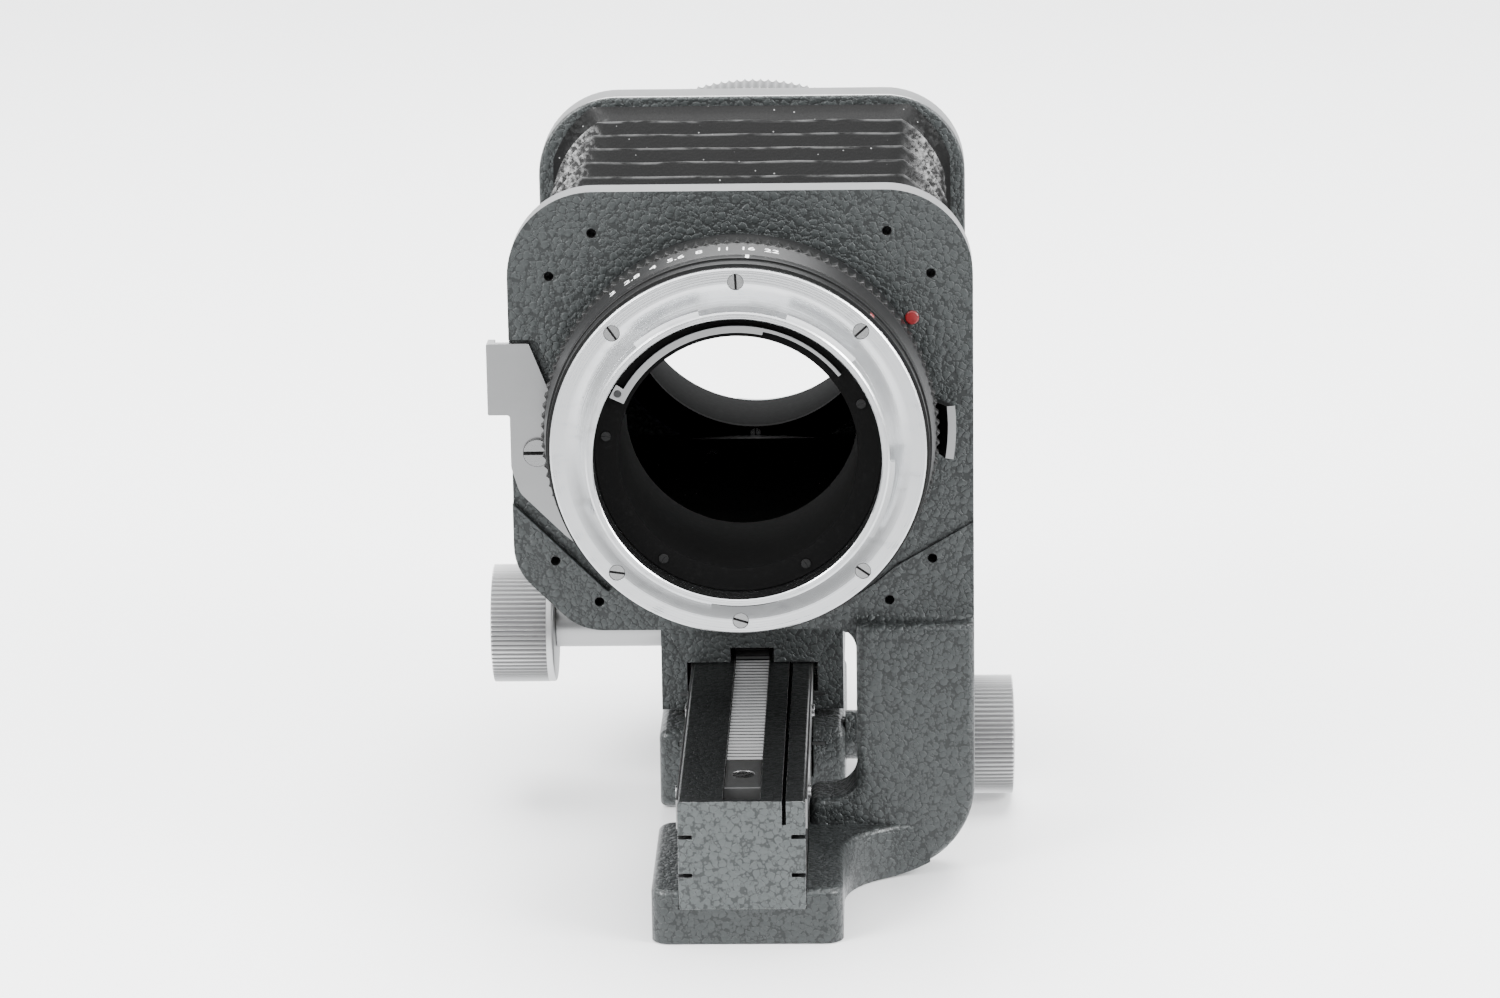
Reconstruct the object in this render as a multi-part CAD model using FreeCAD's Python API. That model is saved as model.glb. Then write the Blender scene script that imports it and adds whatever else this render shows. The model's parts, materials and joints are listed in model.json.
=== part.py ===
"""Macro bellows unit: a camera standard and a lens standard on a rail, with a bellows between them.

Millimetres. +Y runs along the optical axis from the camera side to the lens side, +Z is up and
+X is to the right when the camera mount is seen from the front. The origin is the mouth of the
tripod socket, in the base face of the tripod carriage.
"""
import FreeCAD, Part
import math
import os

from FreeCAD import Vector

# Driving dimensions: standards
PLATE_ABOVE_RAIL = 19.0
PLATE_HALF_WIDTH = 40.0
PLATE_ABOVE_AXIS = 40.0
PLATE_BELOW_AXIS = 38.0
PLATE_CORNER = 15.0
PLATE_BEVEL = 11.3
PLATE_BEVEL_ROUND = 10.0
FRONT_PLATE_THICKNESS = 5.7
REAR_PLATE_THICKNESS = 8.0
PLATE_GAP = 79.3
PLATE_BORE_STEP = 1.0
CAST_EDGE = 0.7
SOCKET_BEHIND_FRONT_PLATE = 56.0

# Driving dimensions: arm and foot of the camera standard
ARM_RAISE = 4.0
ARM_WIDTH = 20.6
ARM_STEP_RISE = 1.6
ARM_EDGE = 1.6
ARM_COVE = 1.5
ARM_CORNER = 16.5
ARM_LOW_TOP = 14.2
WINDOW_UPPER_ROUND = 4.0
WINDOW_LOWER_ROUND = 4.5
FOOT_LENGTH = 38.0
FOOT_BACK_MARGIN = 1.5
FOOT_LEFT_WALL = 4.8
FOOT_RIGHT_WALL = 6.3
FOOT_HEIGHT = 9.5
FOOT_FLARE = 14.0
FOOT_CORNER = 3.0
FOOT_EDGE = 1.1
RAISED_FACE = 0.8
RAISED_FACE_CLEARANCE = 5.75
ACCESSORY_HOLE_RADIUS = 0.85
ACCESSORY_HOLE_DEPTH = 4.0
ACCESSORY_CIRCLE = 41.4
ACCESSORY_HALF_ANGLE = 7.35

# Driving dimensions: rail, rack and guides
RAIL_WIDTH = 21.6
RAIL_HEIGHT = 19.2
RAIL_LIFT = 6.2
RAIL_LENGTH = 190.0
RAIL_SEAT_GAP = 0.12
GROOVE_DEPTH = 2.4
GROOVE_THICKNESS = 0.74
UPPER_GROOVE = 12.9
LOWER_GROOVE = 6.05
TOP_SLOT_OFFSET = 7.2
TOP_SLOT_WIDTH = 0.7
TOP_SLOT_DEPTH = 4.2
RACK_WIDTH = 6.2
RACK_HEIGHT = 3.6
RACK_RECESS = 0.4
RACK_FROM_RAIL_END = 8.5
RACK_PLAIN_END = 14.6
CHANNEL_GAP = 0.1
GEAR_MODULE = 0.56
PINION_TEETH = 24
STRIP_THICKNESS = 0.3
STRIP_HEIGHT = 5.2
STRIP_END_MARGIN = 2.0
STRIP_SCREW_SPACING = 45.0
SLIDE_GAP = 0.25
KEY_THICKNESS = 0.6
KEY_OVERLAP = 2.2
KEY_SEAT = 2.3

# Driving dimensions: lens standard's saddle
CARRIAGE_HALF_WIDTH = 16.7
NECK_LENGTH = 52.8
CHEEK_DROP = 9.1
NECK_FRONT_DROP = 5.9
NECK_BACK_RISE = 1.9
NECK_FACE_STEP = 1.0
SHAFT_BEHIND_NECK_FACE = 7.8

# Driving dimensions: tripod carriage
TRIPOD_CARRIAGE_LENGTH = 46.0
TRIPOD_CARRIAGE_HALF_WIDTH = 17.0
TRIPOD_CHEEK_TOP = 14.7
TRIPOD_BUSH_RADIUS = 7.0
TRIPOD_THREAD_RADIUS = 2.65
TRIPOD_CARRIAGE_FRONT = 33.0
CLAMP_HEIGHT = 11.4
CLAMP_BEHIND_FACE = 7.8

# Driving dimensions: knobs and shafts
KNOB_RADIUS = 10.9
KNOB_GRIP_LENGTH = 10.2
KNOB_COLLAR_LENGTH = 1.3
KNOB_RIDGES = 76
KNOB_RIDGE_DEPTH = 0.35
KNOB_DOME = 0.5
KNOB_INNER_FACE = 36.1
SLEEVE_RADIUS = 4.5
DRIVE_SHAFT_RADIUS = 2.5
CLAMP_SHAFT_RADIUS = 1.95
CLAMP_SPIGOT_RADIUS = 3.0
RUNNING_GAP = 0.05

# Driving dimensions: bayonets
FLANGE_RADIUS = 31.75
FLANGE_THICKNESS = 1.5
FLANGE_FACE_WIDTH = 6.25
SPIGOT_WALL = 1.25
SPIGOT_LENGTH = 5.2
LUG_HEIGHT = 0.9
LUG_THICKNESS = 1.6
LUG_CLEARANCE = 0.1
CAMERA_LUGS = ((-31.3, -1.0), (41.0, 70.7), (103.5, 130.0), (200.8, 259.4))
LENS_LUG_WIDTH = 31.5
LENS_LUG_CENTRES = (6.25, 96.25, 186.25, 276.25)
FLANGE_SCREW_INSET = 2.27
FLANGE_SCREW_ANGLES = (45.0, 90.0, 135.0, 225.0, 270.0, 315.0)

# Driving dimensions: camera mount on the camera standard
FLANGE_FRONT = 23.6
BARREL_INSET = 0.75
INDEX_RING_WIDTH = 5.2
INDEX_RING_WALL = 1.3
APERTURE_RING_WIDTH = 7.2
APERTURE_FRONT_WALL = 1.5
APERTURE_CONE_RISE = 0.9
APERTURE_KNURL_WIDTH = 2.4
APERTURE_KNURL_RISE = 1.5
APERTURE_KNURL_DEPTH = 0.35
APERTURE_KNURLS = 120
COLLAR_STEP = 2.2
COLLAR_BACK = 3.2
BARREL_SEAT_INSET = 0.6
BAFFLE_FACE_WIDTH = 4.05
BAFFLE_WALL = 1.0
PIN_INSET = 1.55
PIN_RADIUS = 0.6

# Driving dimensions: lens mount on the lens standard
MOUNT_RING_RADIUS = 40.1
MOUNT_RING_WIDTH = 10.1
MOUNT_RING_GRIP = 7.0
MOUNT_RING_GAP = 0.3
MOUNT_RING_TEETH = 168
MOUNT_RING_TOOTH_DEPTH = 0.45
LENS_BARREL_STEP = 0.85
LENS_BARREL_LENGTH = 8.1
LENS_BAYONET_DEPTH = 4.0

# Driving dimensions: bellows
BELLOWS_HALF_WIDTH = 36.3
BELLOWS_PLEATS = 6
BELLOWS_SLOPE = 11.2
BELLOWS_WALL = 0.6
BELLOWS_RIDGE_BEVEL = 8.0
BELLOWS_VALLEY_BEVEL = 4.0
FRONT_FRAME_THICKNESS = 1.5
REAR_FRAME_THICKNESS = 3.0
FRAME_MARGIN = 5.5

# Worked out from the sizes above
AXIS_HEIGHT = RAIL_LIFT + RAIL_HEIGHT + PLATE_ABOVE_RAIL + PLATE_BELOW_AXIS
BARREL_RADIUS = FLANGE_RADIUS - BARREL_INSET
BARREL_SEAT_RADIUS = BARREL_RADIUS - BARREL_SEAT_INSET
COLLAR_RADIUS = BARREL_RADIUS + COLLAR_STEP
FLANGE_SCREW_CIRCLE = FLANGE_RADIUS - FLANGE_SCREW_INSET
SPIGOT_RADIUS = FLANGE_RADIUS - FLANGE_FACE_WIDTH
SPIGOT_BORE = SPIGOT_RADIUS - SPIGOT_WALL
BAFFLE_BORE = SPIGOT_BORE - BAFFLE_FACE_WIDTH
PIN_ORBIT = SPIGOT_BORE - PIN_INSET
PLATE_BORE_RADIUS = SPIGOT_RADIUS + PLATE_BORE_STEP
LENS_BARREL_RADIUS = FLANGE_RADIUS + LENS_BARREL_STEP
RAISED_FACE_RADIUS = FLANGE_RADIUS + RAISED_FACE_CLEARANCE
FRONT_FACE = -SOCKET_BEHIND_FRONT_PLATE
FRONT_BACK = FRONT_FACE + FRONT_PLATE_THICKNESS
REAR_FACE = FRONT_BACK + PLATE_GAP
REAR_BACK = REAR_FACE + REAR_PLATE_THICKNESS
PLATE_TOP = AXIS_HEIGHT + PLATE_ABOVE_AXIS
PLATE_BOTTOM = AXIS_HEIGHT - PLATE_BELOW_AXIS
FOOT_FRONT = FRONT_FACE - FOOT_LENGTH
ARM_STEP_HEIGHT = PLATE_BOTTOM + ARM_STEP_RISE
NECK_FRONT_HEIGHT = PLATE_BOTTOM - NECK_FRONT_DROP
NECK_BACK_HEIGHT = PLATE_BOTTOM + NECK_BACK_RISE
RAIL_FRONT = FOOT_FRONT
RAIL_BACK = RAIL_FRONT + RAIL_LENGTH
RAIL_TOP = RAIL_LIFT + RAIL_HEIGHT
RAIL_SIDE = RAIL_WIDTH / 2
NECK_FRONT = REAR_BACK - NECK_LENGTH
SHAFT_Y = NECK_FRONT + SHAFT_BEHIND_NECK_FACE
PITCH_RADIUS = GEAR_MODULE * PINION_TEETH / 2
RACK_TOP = RAIL_TOP - RACK_RECESS
SHAFT_HEIGHT = RACK_TOP - GEAR_MODULE + PITCH_RADIUS
TRIPOD_FRONT = FRONT_FACE + TRIPOD_CARRIAGE_FRONT
TRIPOD_BACK = TRIPOD_FRONT + TRIPOD_CARRIAGE_LENGTH
CLAMP_Y = TRIPOD_FRONT + CLAMP_BEHIND_FACE
FLANGE_BACK = FRONT_FACE - FLANGE_FRONT + FLANGE_THICKNESS
INDEX_BACK = FLANGE_BACK + INDEX_RING_WIDTH
APERTURE_FRONT = INDEX_BACK + MOUNT_RING_GAP
APERTURE_BACK = APERTURE_FRONT + APERTURE_RING_WIDTH
COLLAR_FRONT = APERTURE_BACK + MOUNT_RING_GAP


# Shared shapes
def block(x, y, z):
    """A box from three (low, high) spans."""
    size = [high - low for low, high in (x, y, z)]
    return Part.makeBox(*size, Vector(x[0], y[0], z[0]))


def rod(radius, start, end):
    """A round bar between two points."""
    line = Vector(*end) - Vector(*start)
    return Part.makeCylinder(radius, line.Length, Vector(*start), line)


def corner_arc(before, corner, after, radius):
    """The tangent points and the middle of the arc that rounds a corner."""
    back = (before - corner).normalize()
    ahead = (after - corner).normalize()
    half = back.getAngle(ahead) / 2
    reach = radius / math.tan(half)
    middle_line = (back + ahead).normalize()
    centre = corner + middle_line * (radius / math.sin(half))
    return corner + back * reach, centre - middle_line * radius, corner + ahead * reach


def rounded_face(corners, place):
    """A face inside corners given as (u, v, radius); place turns u and v into a point."""
    points = [place(u, v) for u, v, _ in corners]
    count = len(points)
    edges = []
    ends = []
    for i, (_, _, radius) in enumerate(corners):
        if radius <= 0:
            ends.append((points[i], points[i]))
            continue
        start, middle, end = corner_arc(points[i - 1], points[i], points[(i + 1) % count], radius)
        edges.append((i, Part.Arc(start, middle, end).toShape()))
        ends.append((start, end))
    arcs = dict(edges)
    chain = []
    for i in range(count):
        if i in arcs:
            chain.append(arcs[i])
        start, end = ends[i][1], ends[(i + 1) % count][0]
        if start.distanceToPoint(end) > 1e-6:
            chain.append(Part.makeLine(start, end))
    return Part.Face(Part.Wire(chain))


def front_slab(corners, y0, y1):
    """A plate with its outline in X and Z, between two places along Y."""
    face = rounded_face(corners, lambda u, v: Vector(u, y0, v))
    return face.extrude(Vector(0, y1 - y0, 0))


def plan_slab(corners, z0, z1):
    """A plate with its outline in X and Y, between two heights."""
    face = rounded_face(corners, lambda u, v: Vector(u, v, z0))
    return face.extrude(Vector(0, 0, z1 - z0))


def side_slab(corners, x0, x1):
    """A plate with its outline in Y and Z, between two places along X."""
    face = rounded_face(corners, lambda u, v: Vector(x0, u, v))
    return face.extrude(Vector(x1 - x0, 0, 0))


def turned(profile, centre=(0.0, AXIS_HEIGHT)):
    """A ring turned about the optical axis from (y, radius) corners."""
    points = [Vector(centre[0], y, centre[1] + r) for y, r in profile]
    face = Part.Face(Part.makePolygon(points + points[:1]))
    return face.revolve(Vector(centre[0], 0, centre[1]), Vector(0, 1, 0), 360)


def tube(r_in, r_out, y0, y1):
    """A plain ring about the optical axis."""
    return turned([(y0, r_in), (y0, r_out), (y1, r_out), (y1, r_in)])


def on_axis(radius, degrees, y=0.0):
    """A point around the optical axis, counted from +X towards +Z."""
    a = math.radians(degrees)
    return Vector(radius * math.cos(a), y, AXIS_HEIGHT + radius * math.sin(a))


def axis_pin(radius, orbit, degrees, y0, y1):
    """A bar parallel to the optical axis."""
    return rod(radius, on_axis(orbit, degrees, y0), on_axis(orbit, degrees, y1))


def sector(r_in, r_out, start, end, y0, y1):
    """A part of a ring between two angles about the optical axis."""
    middle = (start + end) / 2
    outer = Part.Arc(on_axis(r_out, start, y0), on_axis(r_out, middle, y0), on_axis(r_out, end, y0))
    inner = Part.Arc(on_axis(r_in, end, y0), on_axis(r_in, middle, y0), on_axis(r_in, start, y0))
    sides = [
        Part.makeLine(on_axis(r_out, end, y0), on_axis(r_in, end, y0)),
        Part.makeLine(on_axis(r_in, start, y0), on_axis(r_out, start, y0)),
    ]
    wire = Part.Wire([outer.toShape(), sides[0], inner.toShape(), sides[1]])
    return Part.Face(wire).extrude(Vector(0, y1 - y0, 0))


def softened(shape, radius, wanted):
    """The shape with a round on each edge that the test picks."""
    edges = [edge for edge in shape.Edges if wanted(edge)]
    return shape.makeFillet(radius, edges)


def lies_at_y(edge, y):
    """Whether the whole edge lies at one place along Y."""
    box = edge.BoundBox
    return abs(box.YMin - y) < 1e-4 and abs(box.YMax - y) < 1e-4


def lies_at_z(edge, z):
    """Whether the whole edge lies at one height."""
    box = edge.BoundBox
    return abs(box.ZMin - z) < 1e-4 and abs(box.ZMax - z) < 1e-4


def slotted_screw(head_radius, head_height, shank_radius, length, slot, place, axis, turn=0.0):
    """A slotted screw: place is the centre of its head's face, axis points out of the work."""
    head = Part.makeCylinder(head_radius, head_height, Vector(0, 0, -head_height))
    shank = Part.makeCylinder(shank_radius, length, Vector(0, 0, -length))
    cut = Part.makeBox(3 * head_radius, slot, slot, Vector(-1.5 * head_radius, -slot / 2, -slot))
    screw = head.fuse(shank).cut(cut)
    screw.rotate(Vector(0, 0, 0), Vector(0, 0, 1), turn)
    screw.Placement = FreeCAD.Placement(Vector(*place), FreeCAD.Rotation(Vector(0, 0, 1), Vector(*axis))) * screw.Placement
    return screw


def ridged_disc(radius, depth, count, height):
    """A disc whose rim has straight ridges, standing on the plane z = 0."""
    points = []
    for i in range(2 * count):
        r = radius if i % 2 == 0 else radius - depth
        a = math.pi * i / count
        points.append(Vector(r * math.cos(a), r * math.sin(a), 0))
    return Part.Face(Part.makePolygon(points + points[:1])).extrude(Vector(0, 0, height))


def group(shapes):
    """Loose solids of one node."""
    return Part.makeCompound(list(shapes))


# Camera standard
def plate_corners(arm_side):
    """The plate's outline; arm_side says what its lower right corner runs into."""
    left = -PLATE_HALF_WIDTH
    right = PLATE_HALF_WIDTH
    return [
        (left, PLATE_TOP, PLATE_CORNER),
        (right, PLATE_TOP, PLATE_CORNER),
        *arm_side,
        (left + PLATE_BEVEL, PLATE_BOTTOM, PLATE_BEVEL_ROUND),
        (left, PLATE_BOTTOM + PLATE_BEVEL, PLATE_BEVEL_ROUND),
    ]


def window_foot_round():
    """The round at the foot of the arm's window, as wide as the wall beside it leaves room for."""
    room = PLATE_HALF_WIDTH - ARM_WIDTH - RAIL_SIDE - RAIL_SEAT_GAP - ARM_EDGE - 0.4
    return min(WINDOW_LOWER_ROUND, 0.9 * room)


def arm_corners(top):
    """The arm's outline in front view, up to the given height."""
    right = PLATE_HALF_WIDTH
    inner = right - ARM_WIDTH
    rail_side = RAIL_SIDE + RAIL_SEAT_GAP
    return [
        (right, top, 0),
        (right, 0, ARM_CORNER),
        (rail_side, 0, 0),
        (rail_side, ARM_LOW_TOP, ARM_EDGE + 0.4),
        (inner, ARM_LOW_TOP, window_foot_round()),
        (inner, top, 0),
    ]


def near_plate():
    """The upright plate, drawn in one outline with the arm below it."""
    right = PLATE_HALF_WIDTH
    inner = right - ARM_WIDTH
    rail_side = RAIL_SIDE + RAIL_SEAT_GAP
    arm_side = [
        (right, 0, ARM_CORNER),
        (rail_side, 0, 0),
        (rail_side, ARM_LOW_TOP, ARM_EDGE + 0.4),
        (inner, ARM_LOW_TOP, window_foot_round()),
        (inner, PLATE_BOTTOM, WINDOW_UPPER_ROUND),
    ]
    return front_slab(plate_corners(arm_side), FRONT_FACE, FRONT_BACK)


def raised_face():
    """The slightly raised lower part of the plate's face, hollowed round the mount."""
    left = -PLATE_HALF_WIDTH
    right = PLATE_HALF_WIDTH
    low_left = on_axis(RAISED_FACE_RADIUS, 232)
    low_right = on_axis(RAISED_FACE_RADIUS, 314)
    corners = [
        (left, AXIS_HEIGHT - 15.0, 0),
        (low_left.x, low_left.z, 0),
        (low_right.x, low_right.z, 0),
        (right, AXIS_HEIGHT - 18.8, 0),
        (right, PLATE_BOTTOM - 1.0, 0),
        (left + PLATE_BEVEL, PLATE_BOTTOM, PLATE_BEVEL_ROUND),
        (left, PLATE_BOTTOM + PLATE_BEVEL, PLATE_BEVEL_ROUND),
    ]
    pad = front_slab(corners, FRONT_FACE - RAISED_FACE, FRONT_FACE)
    hollow = rod(RAISED_FACE_RADIUS, on_axis(0, 0, FRONT_FACE - 2), on_axis(0, 0, FRONT_FACE))
    window = near_plate()
    window.translate(Vector(0, -FRONT_PLATE_THICKNESS, 0))
    return pad.cut(hollow).common(window)


def foot():
    """The cradle under the rail, flared into the arm on its right."""
    left = -RAIL_SIDE - FOOT_LEFT_WALL
    right = RAIL_SIDE + FOOT_RIGHT_WALL
    arm_face = FRONT_FACE - ARM_RAISE
    back = FRONT_FACE - FOOT_BACK_MARGIN
    corners = [
        (left, FOOT_FRONT, FOOT_CORNER),
        (right, FOOT_FRONT, FOOT_CORNER),
        (right, arm_face, FOOT_FLARE),
        (right + FOOT_FLARE + 1.0, arm_face, 0),
        (right + FOOT_FLARE + 1.0, back, 0),
        (left, back, FOOT_CORNER),
    ]
    base = plan_slab(corners, 0, FOOT_HEIGHT)
    base = softened(base, FOOT_EDGE, lambda edge: lies_at_z(edge, FOOT_HEIGHT) and edge.BoundBox.YMin < arm_face - 1)
    silhouette = front_slab([
        (left - 1, FOOT_HEIGHT + 1, 0),
        (PLATE_HALF_WIDTH, FOOT_HEIGHT + 1 + ARM_CORNER, 0),
        (PLATE_HALF_WIDTH, 0, ARM_CORNER),
        (left - 1, 0, 0),
    ], FOOT_FRONT - 1, FRONT_BACK)
    return base.common(silhouette)


def arm():
    """The arm's thicker front, rounded along its edges, with a cove where it meets the plate."""
    face = FRONT_FACE - ARM_RAISE
    front = front_slab(arm_corners(ARM_STEP_HEIGHT), face, FRONT_FACE)
    front = softened(front, ARM_EDGE, lambda edge: lies_at_y(edge, face))
    inner = PLATE_HALF_WIDTH - ARM_WIDTH
    wall = FRONT_FACE - RAISED_FACE
    high = ARM_STEP_HEIGHT + ARM_COVE
    cove = block((inner, PLATE_HALF_WIDTH), (wall - ARM_COVE, FRONT_FACE), (ARM_STEP_HEIGHT - 1, high))
    hollow = rod(ARM_COVE, (inner - 1, wall - ARM_COVE, high), (PLATE_HALF_WIDTH + 1, wall - ARM_COVE, high))
    return front.fuse(cove.cut(hollow))


def lever_pocket():
    """The pocket for the release lever in the plate's left side."""
    z = AXIS_HEIGHT
    reach = lever_reach()
    corners = [
        (-PLATE_HALF_WIDTH - 1, z + 14.1, 0),
        (-reach - 3.6, z + 14.1, 1.5),
        (-reach + 4.6, z - 4.5, 0),
        (-reach + 12.8, z - 26.0, 0),
        (-reach + 7.9, z - 31.1, 0.5),
        (-PLATE_HALF_WIDTH - 1, z - 14.0, 0),
    ]
    return front_slab(corners, FRONT_FACE - 1, FRONT_FACE + 1.0)


def accessory_holes():
    """Eight small tapped holes in pairs about the plate's diagonals."""
    cutters = []
    for diagonal in (45, 135, 225, 315):
        for side in (-ACCESSORY_HALF_ANGLE, ACCESSORY_HALF_ANGLE):
            angle = diagonal + side
            cutters.append(axis_pin(ACCESSORY_HOLE_RADIUS, ACCESSORY_CIRCLE, angle,
                                    FRONT_FACE - 1, FRONT_FACE + ACCESSORY_HOLE_DEPTH))
    return cutters


def camera_standard():
    """The camera standard: plate, arm and foot in one casting."""
    body = near_plate().multiFuse([arm(), raised_face(), foot()])
    seat = RAIL_SIDE + RAIL_SEAT_GAP
    rail_room = block((-seat, seat), (FOOT_FRONT - 1, FRONT_BACK + 1), (RAIL_LIFT, RAIL_TOP))
    bore = rod(PLATE_BORE_RADIUS, on_axis(0, 0, FRONT_FACE - 2), on_axis(0, 0, FRONT_BACK + 1))
    cutters = [rail_room, bore, lever_pocket(), *accessory_holes()]
    cutters.append(rod(1.55, lever_pivot(FRONT_FACE - 1), lever_pivot(FRONT_FACE + 4.6)))
    cutters.append(rod(DOT_RADIUS + 0.05, dot_place(FRONT_FACE - 1), dot_place(FRONT_FACE + 0.6)))
    for y in foot_screw_places():
        cutters.append(rod(2.05, (0, y, -1), (0, y, RAIL_LIFT + 1)))
        cutters.append(rod(3.6, (0, y, -1), (0, y, 2.4)))
    for angle in BARREL_SCREW_ANGLES:
        cutters.append(axis_pin(1.05, BARREL_SCREW_CIRCLE, angle, FRONT_FACE - 1, FRONT_BACK + 1))
        cutters.append(axis_pin(1.85, BARREL_SCREW_CIRCLE, angle, FRONT_BACK - 1.3, FRONT_BACK + 1))
    for x, z in frame_screw_places():
        cutters.append(rod(0.85, (x, FRONT_BACK - 3.5, z), (x, FRONT_BACK + 1, z)))
    return body.cut(cutters)


# Release lever
LEVER_PIVOT_DROP = 5.8
LEVER_PIVOT_INSET = 0.35
LEVER_THICKNESS = 1.3
LEVER_SIDE_STEP = 0.1
LEVER_TAB_REACH = 3.9
LEVER_TAB_THICKNESS = 1.3
LEVER_BARREL_GAP = 0.6
LEVER_FRONT = FRONT_FACE - 0.35
LEVER_TAB_DEPTH = 5.0
LEVER_TAB_RIDGES = 12
DOT_RADIUS = 1.2
DOT_INSET = 10.5
DOT_RISE = 17.5


def lever_reach():
    """How far from the middle the blade's inner edge is, just clear of the barrel."""
    return BARREL_RADIUS + LEVER_BARREL_GAP


def lever_pivot(y):
    """The lever's pivot at one place along Y, near the middle of the blade's width."""
    middle = (PLATE_HALF_WIDTH + LEVER_SIDE_STEP + lever_reach()) / 2
    return Vector(LEVER_PIVOT_INSET - middle, y, AXIS_HEIGHT - LEVER_PIVOT_DROP)


def dot_place(y):
    """The alignment dot on the plate's face."""
    return Vector(PLATE_HALF_WIDTH - DOT_INSET, y, AXIS_HEIGHT + DOT_RISE)


def release_lever():
    """A flat lever in the pocket, with a folded and serrated thumb tab outside the plate."""
    z = AXIS_HEIGHT
    back = LEVER_FRONT + LEVER_THICKNESS
    side = -PLATE_HALF_WIDTH - LEVER_SIDE_STEP
    outer = -PLATE_HALF_WIDTH - LEVER_TAB_REACH
    inner = -lever_reach()
    blade = front_slab([
        (outer, z + 13.5, 0.3),
        (inner - 4.9, z + 13.5, 0.5),
        (inner - 1.6, z + 5.0, 2.0),
        (inner, z - 4.0, 2.0),
        (inner + 3.0, z - 22.8, 0.4),
        (inner + 0.6, z - 20.8, 0),
        (side + 1.4, z - 13.1, 4.0),
        (side, z - 8.5, 3.0),
        (side, z + 0.8, 0.5),
        (outer, z + 0.8, 0.3),
    ], LEVER_FRONT, back)
    tab_front = (LEVER_FRONT, LEVER_FRONT + LEVER_TAB_DEPTH)
    tab = block((outer, outer + LEVER_TAB_THICKNESS), tab_front, (z + 1.2, z + 13.1))
    lever = blade.fuse(tab)
    pitch = 11.4 / LEVER_TAB_RIDGES
    grooves = []
    for i in range(LEVER_TAB_RIDGES):
        height = z + 1.9 + pitch * i
        x = outer - 0.15
        grooves.append(rod(0.3, (x, LEVER_FRONT + 0.4, height), (x, LEVER_FRONT + 6, height)))
    hole = rod(1.5 + RUNNING_GAP, lever_pivot(LEVER_FRONT - 1), lever_pivot(back + 1))
    return lever.cut(grooves + [hole])


def lever_pivot_screw():
    """The slotted shoulder screw that the lever turns on."""
    place = lever_pivot(LEVER_FRONT - 0.75)
    return slotted_screw(2.45, 0.7, 1.5, 5.5, 0.5, place, (0, -1, 0))


def alignment_dot():
    """The red enamel dot for setting the mount on."""
    dot = rod(DOT_RADIUS, dot_place(FRONT_FACE - 0.3), dot_place(FRONT_FACE + 0.6))
    return softened(dot, 0.25, lambda edge: lies_at_y(edge, FRONT_FACE - 0.3))


# Rail group
def rail():
    """The rail bar with its guide grooves, rack channel and top slot."""
    bar = block((-RAIL_SIDE, RAIL_SIDE), (RAIL_FRONT, RAIL_BACK), (RAIL_LIFT, RAIL_TOP))
    bar = softened(bar, 0.5, lambda edge: edge.BoundBox.YLength > RAIL_LENGTH / 2)
    cutters = []
    for side in (-1, 1):
        for height in (UPPER_GROOVE, LOWER_GROOVE):
            x = sorted((side * (RAIL_SIDE - GROOVE_DEPTH), side * (RAIL_SIDE + 1)))
            low = RAIL_LIFT + height - GROOVE_THICKNESS / 2
            cutters.append(block(x, (RAIL_FRONT - 1, RAIL_BACK + 1), (low, low + GROOVE_THICKNESS)))
    half = RACK_WIDTH / 2 + CHANNEL_GAP
    floor = RACK_TOP - RACK_HEIGHT
    cutters.append(block((-half, half), (RAIL_FRONT + 1.2, RAIL_BACK + 1), (floor, RAIL_TOP + 1)))
    slot = (TOP_SLOT_OFFSET - TOP_SLOT_WIDTH / 2, TOP_SLOT_OFFSET + TOP_SLOT_WIDTH / 2)
    cutters.append(block(slot, (RAIL_FRONT - 1, RAIL_BACK + 1), (RAIL_TOP - TOP_SLOT_DEPTH, RAIL_TOP + 1)))
    for y in rack_screw_places():
        cutters.append(rod(1.05, (0, y, floor - 4), (0, y, floor + 1)))
    for y in foot_screw_places():
        cutters.append(rod(2.05, (0, y, RAIL_LIFT - 1), (0, y, RAIL_LIFT + 6)))
    for x, y, z in strip_screw_places():
        cutters.append(rod(0.55, (x - math.copysign(1.6, x), y, z), (x + math.copysign(1, x), y, z)))
    for x, z in stop_screw_places():
        cutters.append(rod(1.05, (x, RAIL_BACK - 6, z), (x, RAIL_BACK + 1, z)))
    return bar.cut(cutters)


def foot_screw_places():
    """Where the screws that hold the rail in the foot stand, along Y."""
    return (FOOT_FRONT + 0.27 * FOOT_LENGTH, FOOT_FRONT + 0.75 * FOOT_LENGTH)


def rack_span():
    """Where the rack starts and ends along Y."""
    return RAIL_FRONT + RACK_FROM_RAIL_END, RAIL_BACK - RACK_FROM_RAIL_END


def rack_screw_places():
    """The rack's two screws, in its plain ends."""
    start, end = rack_span()
    return (start + RACK_PLAIN_END / 2, end - RACK_PLAIN_END / 2)


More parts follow.
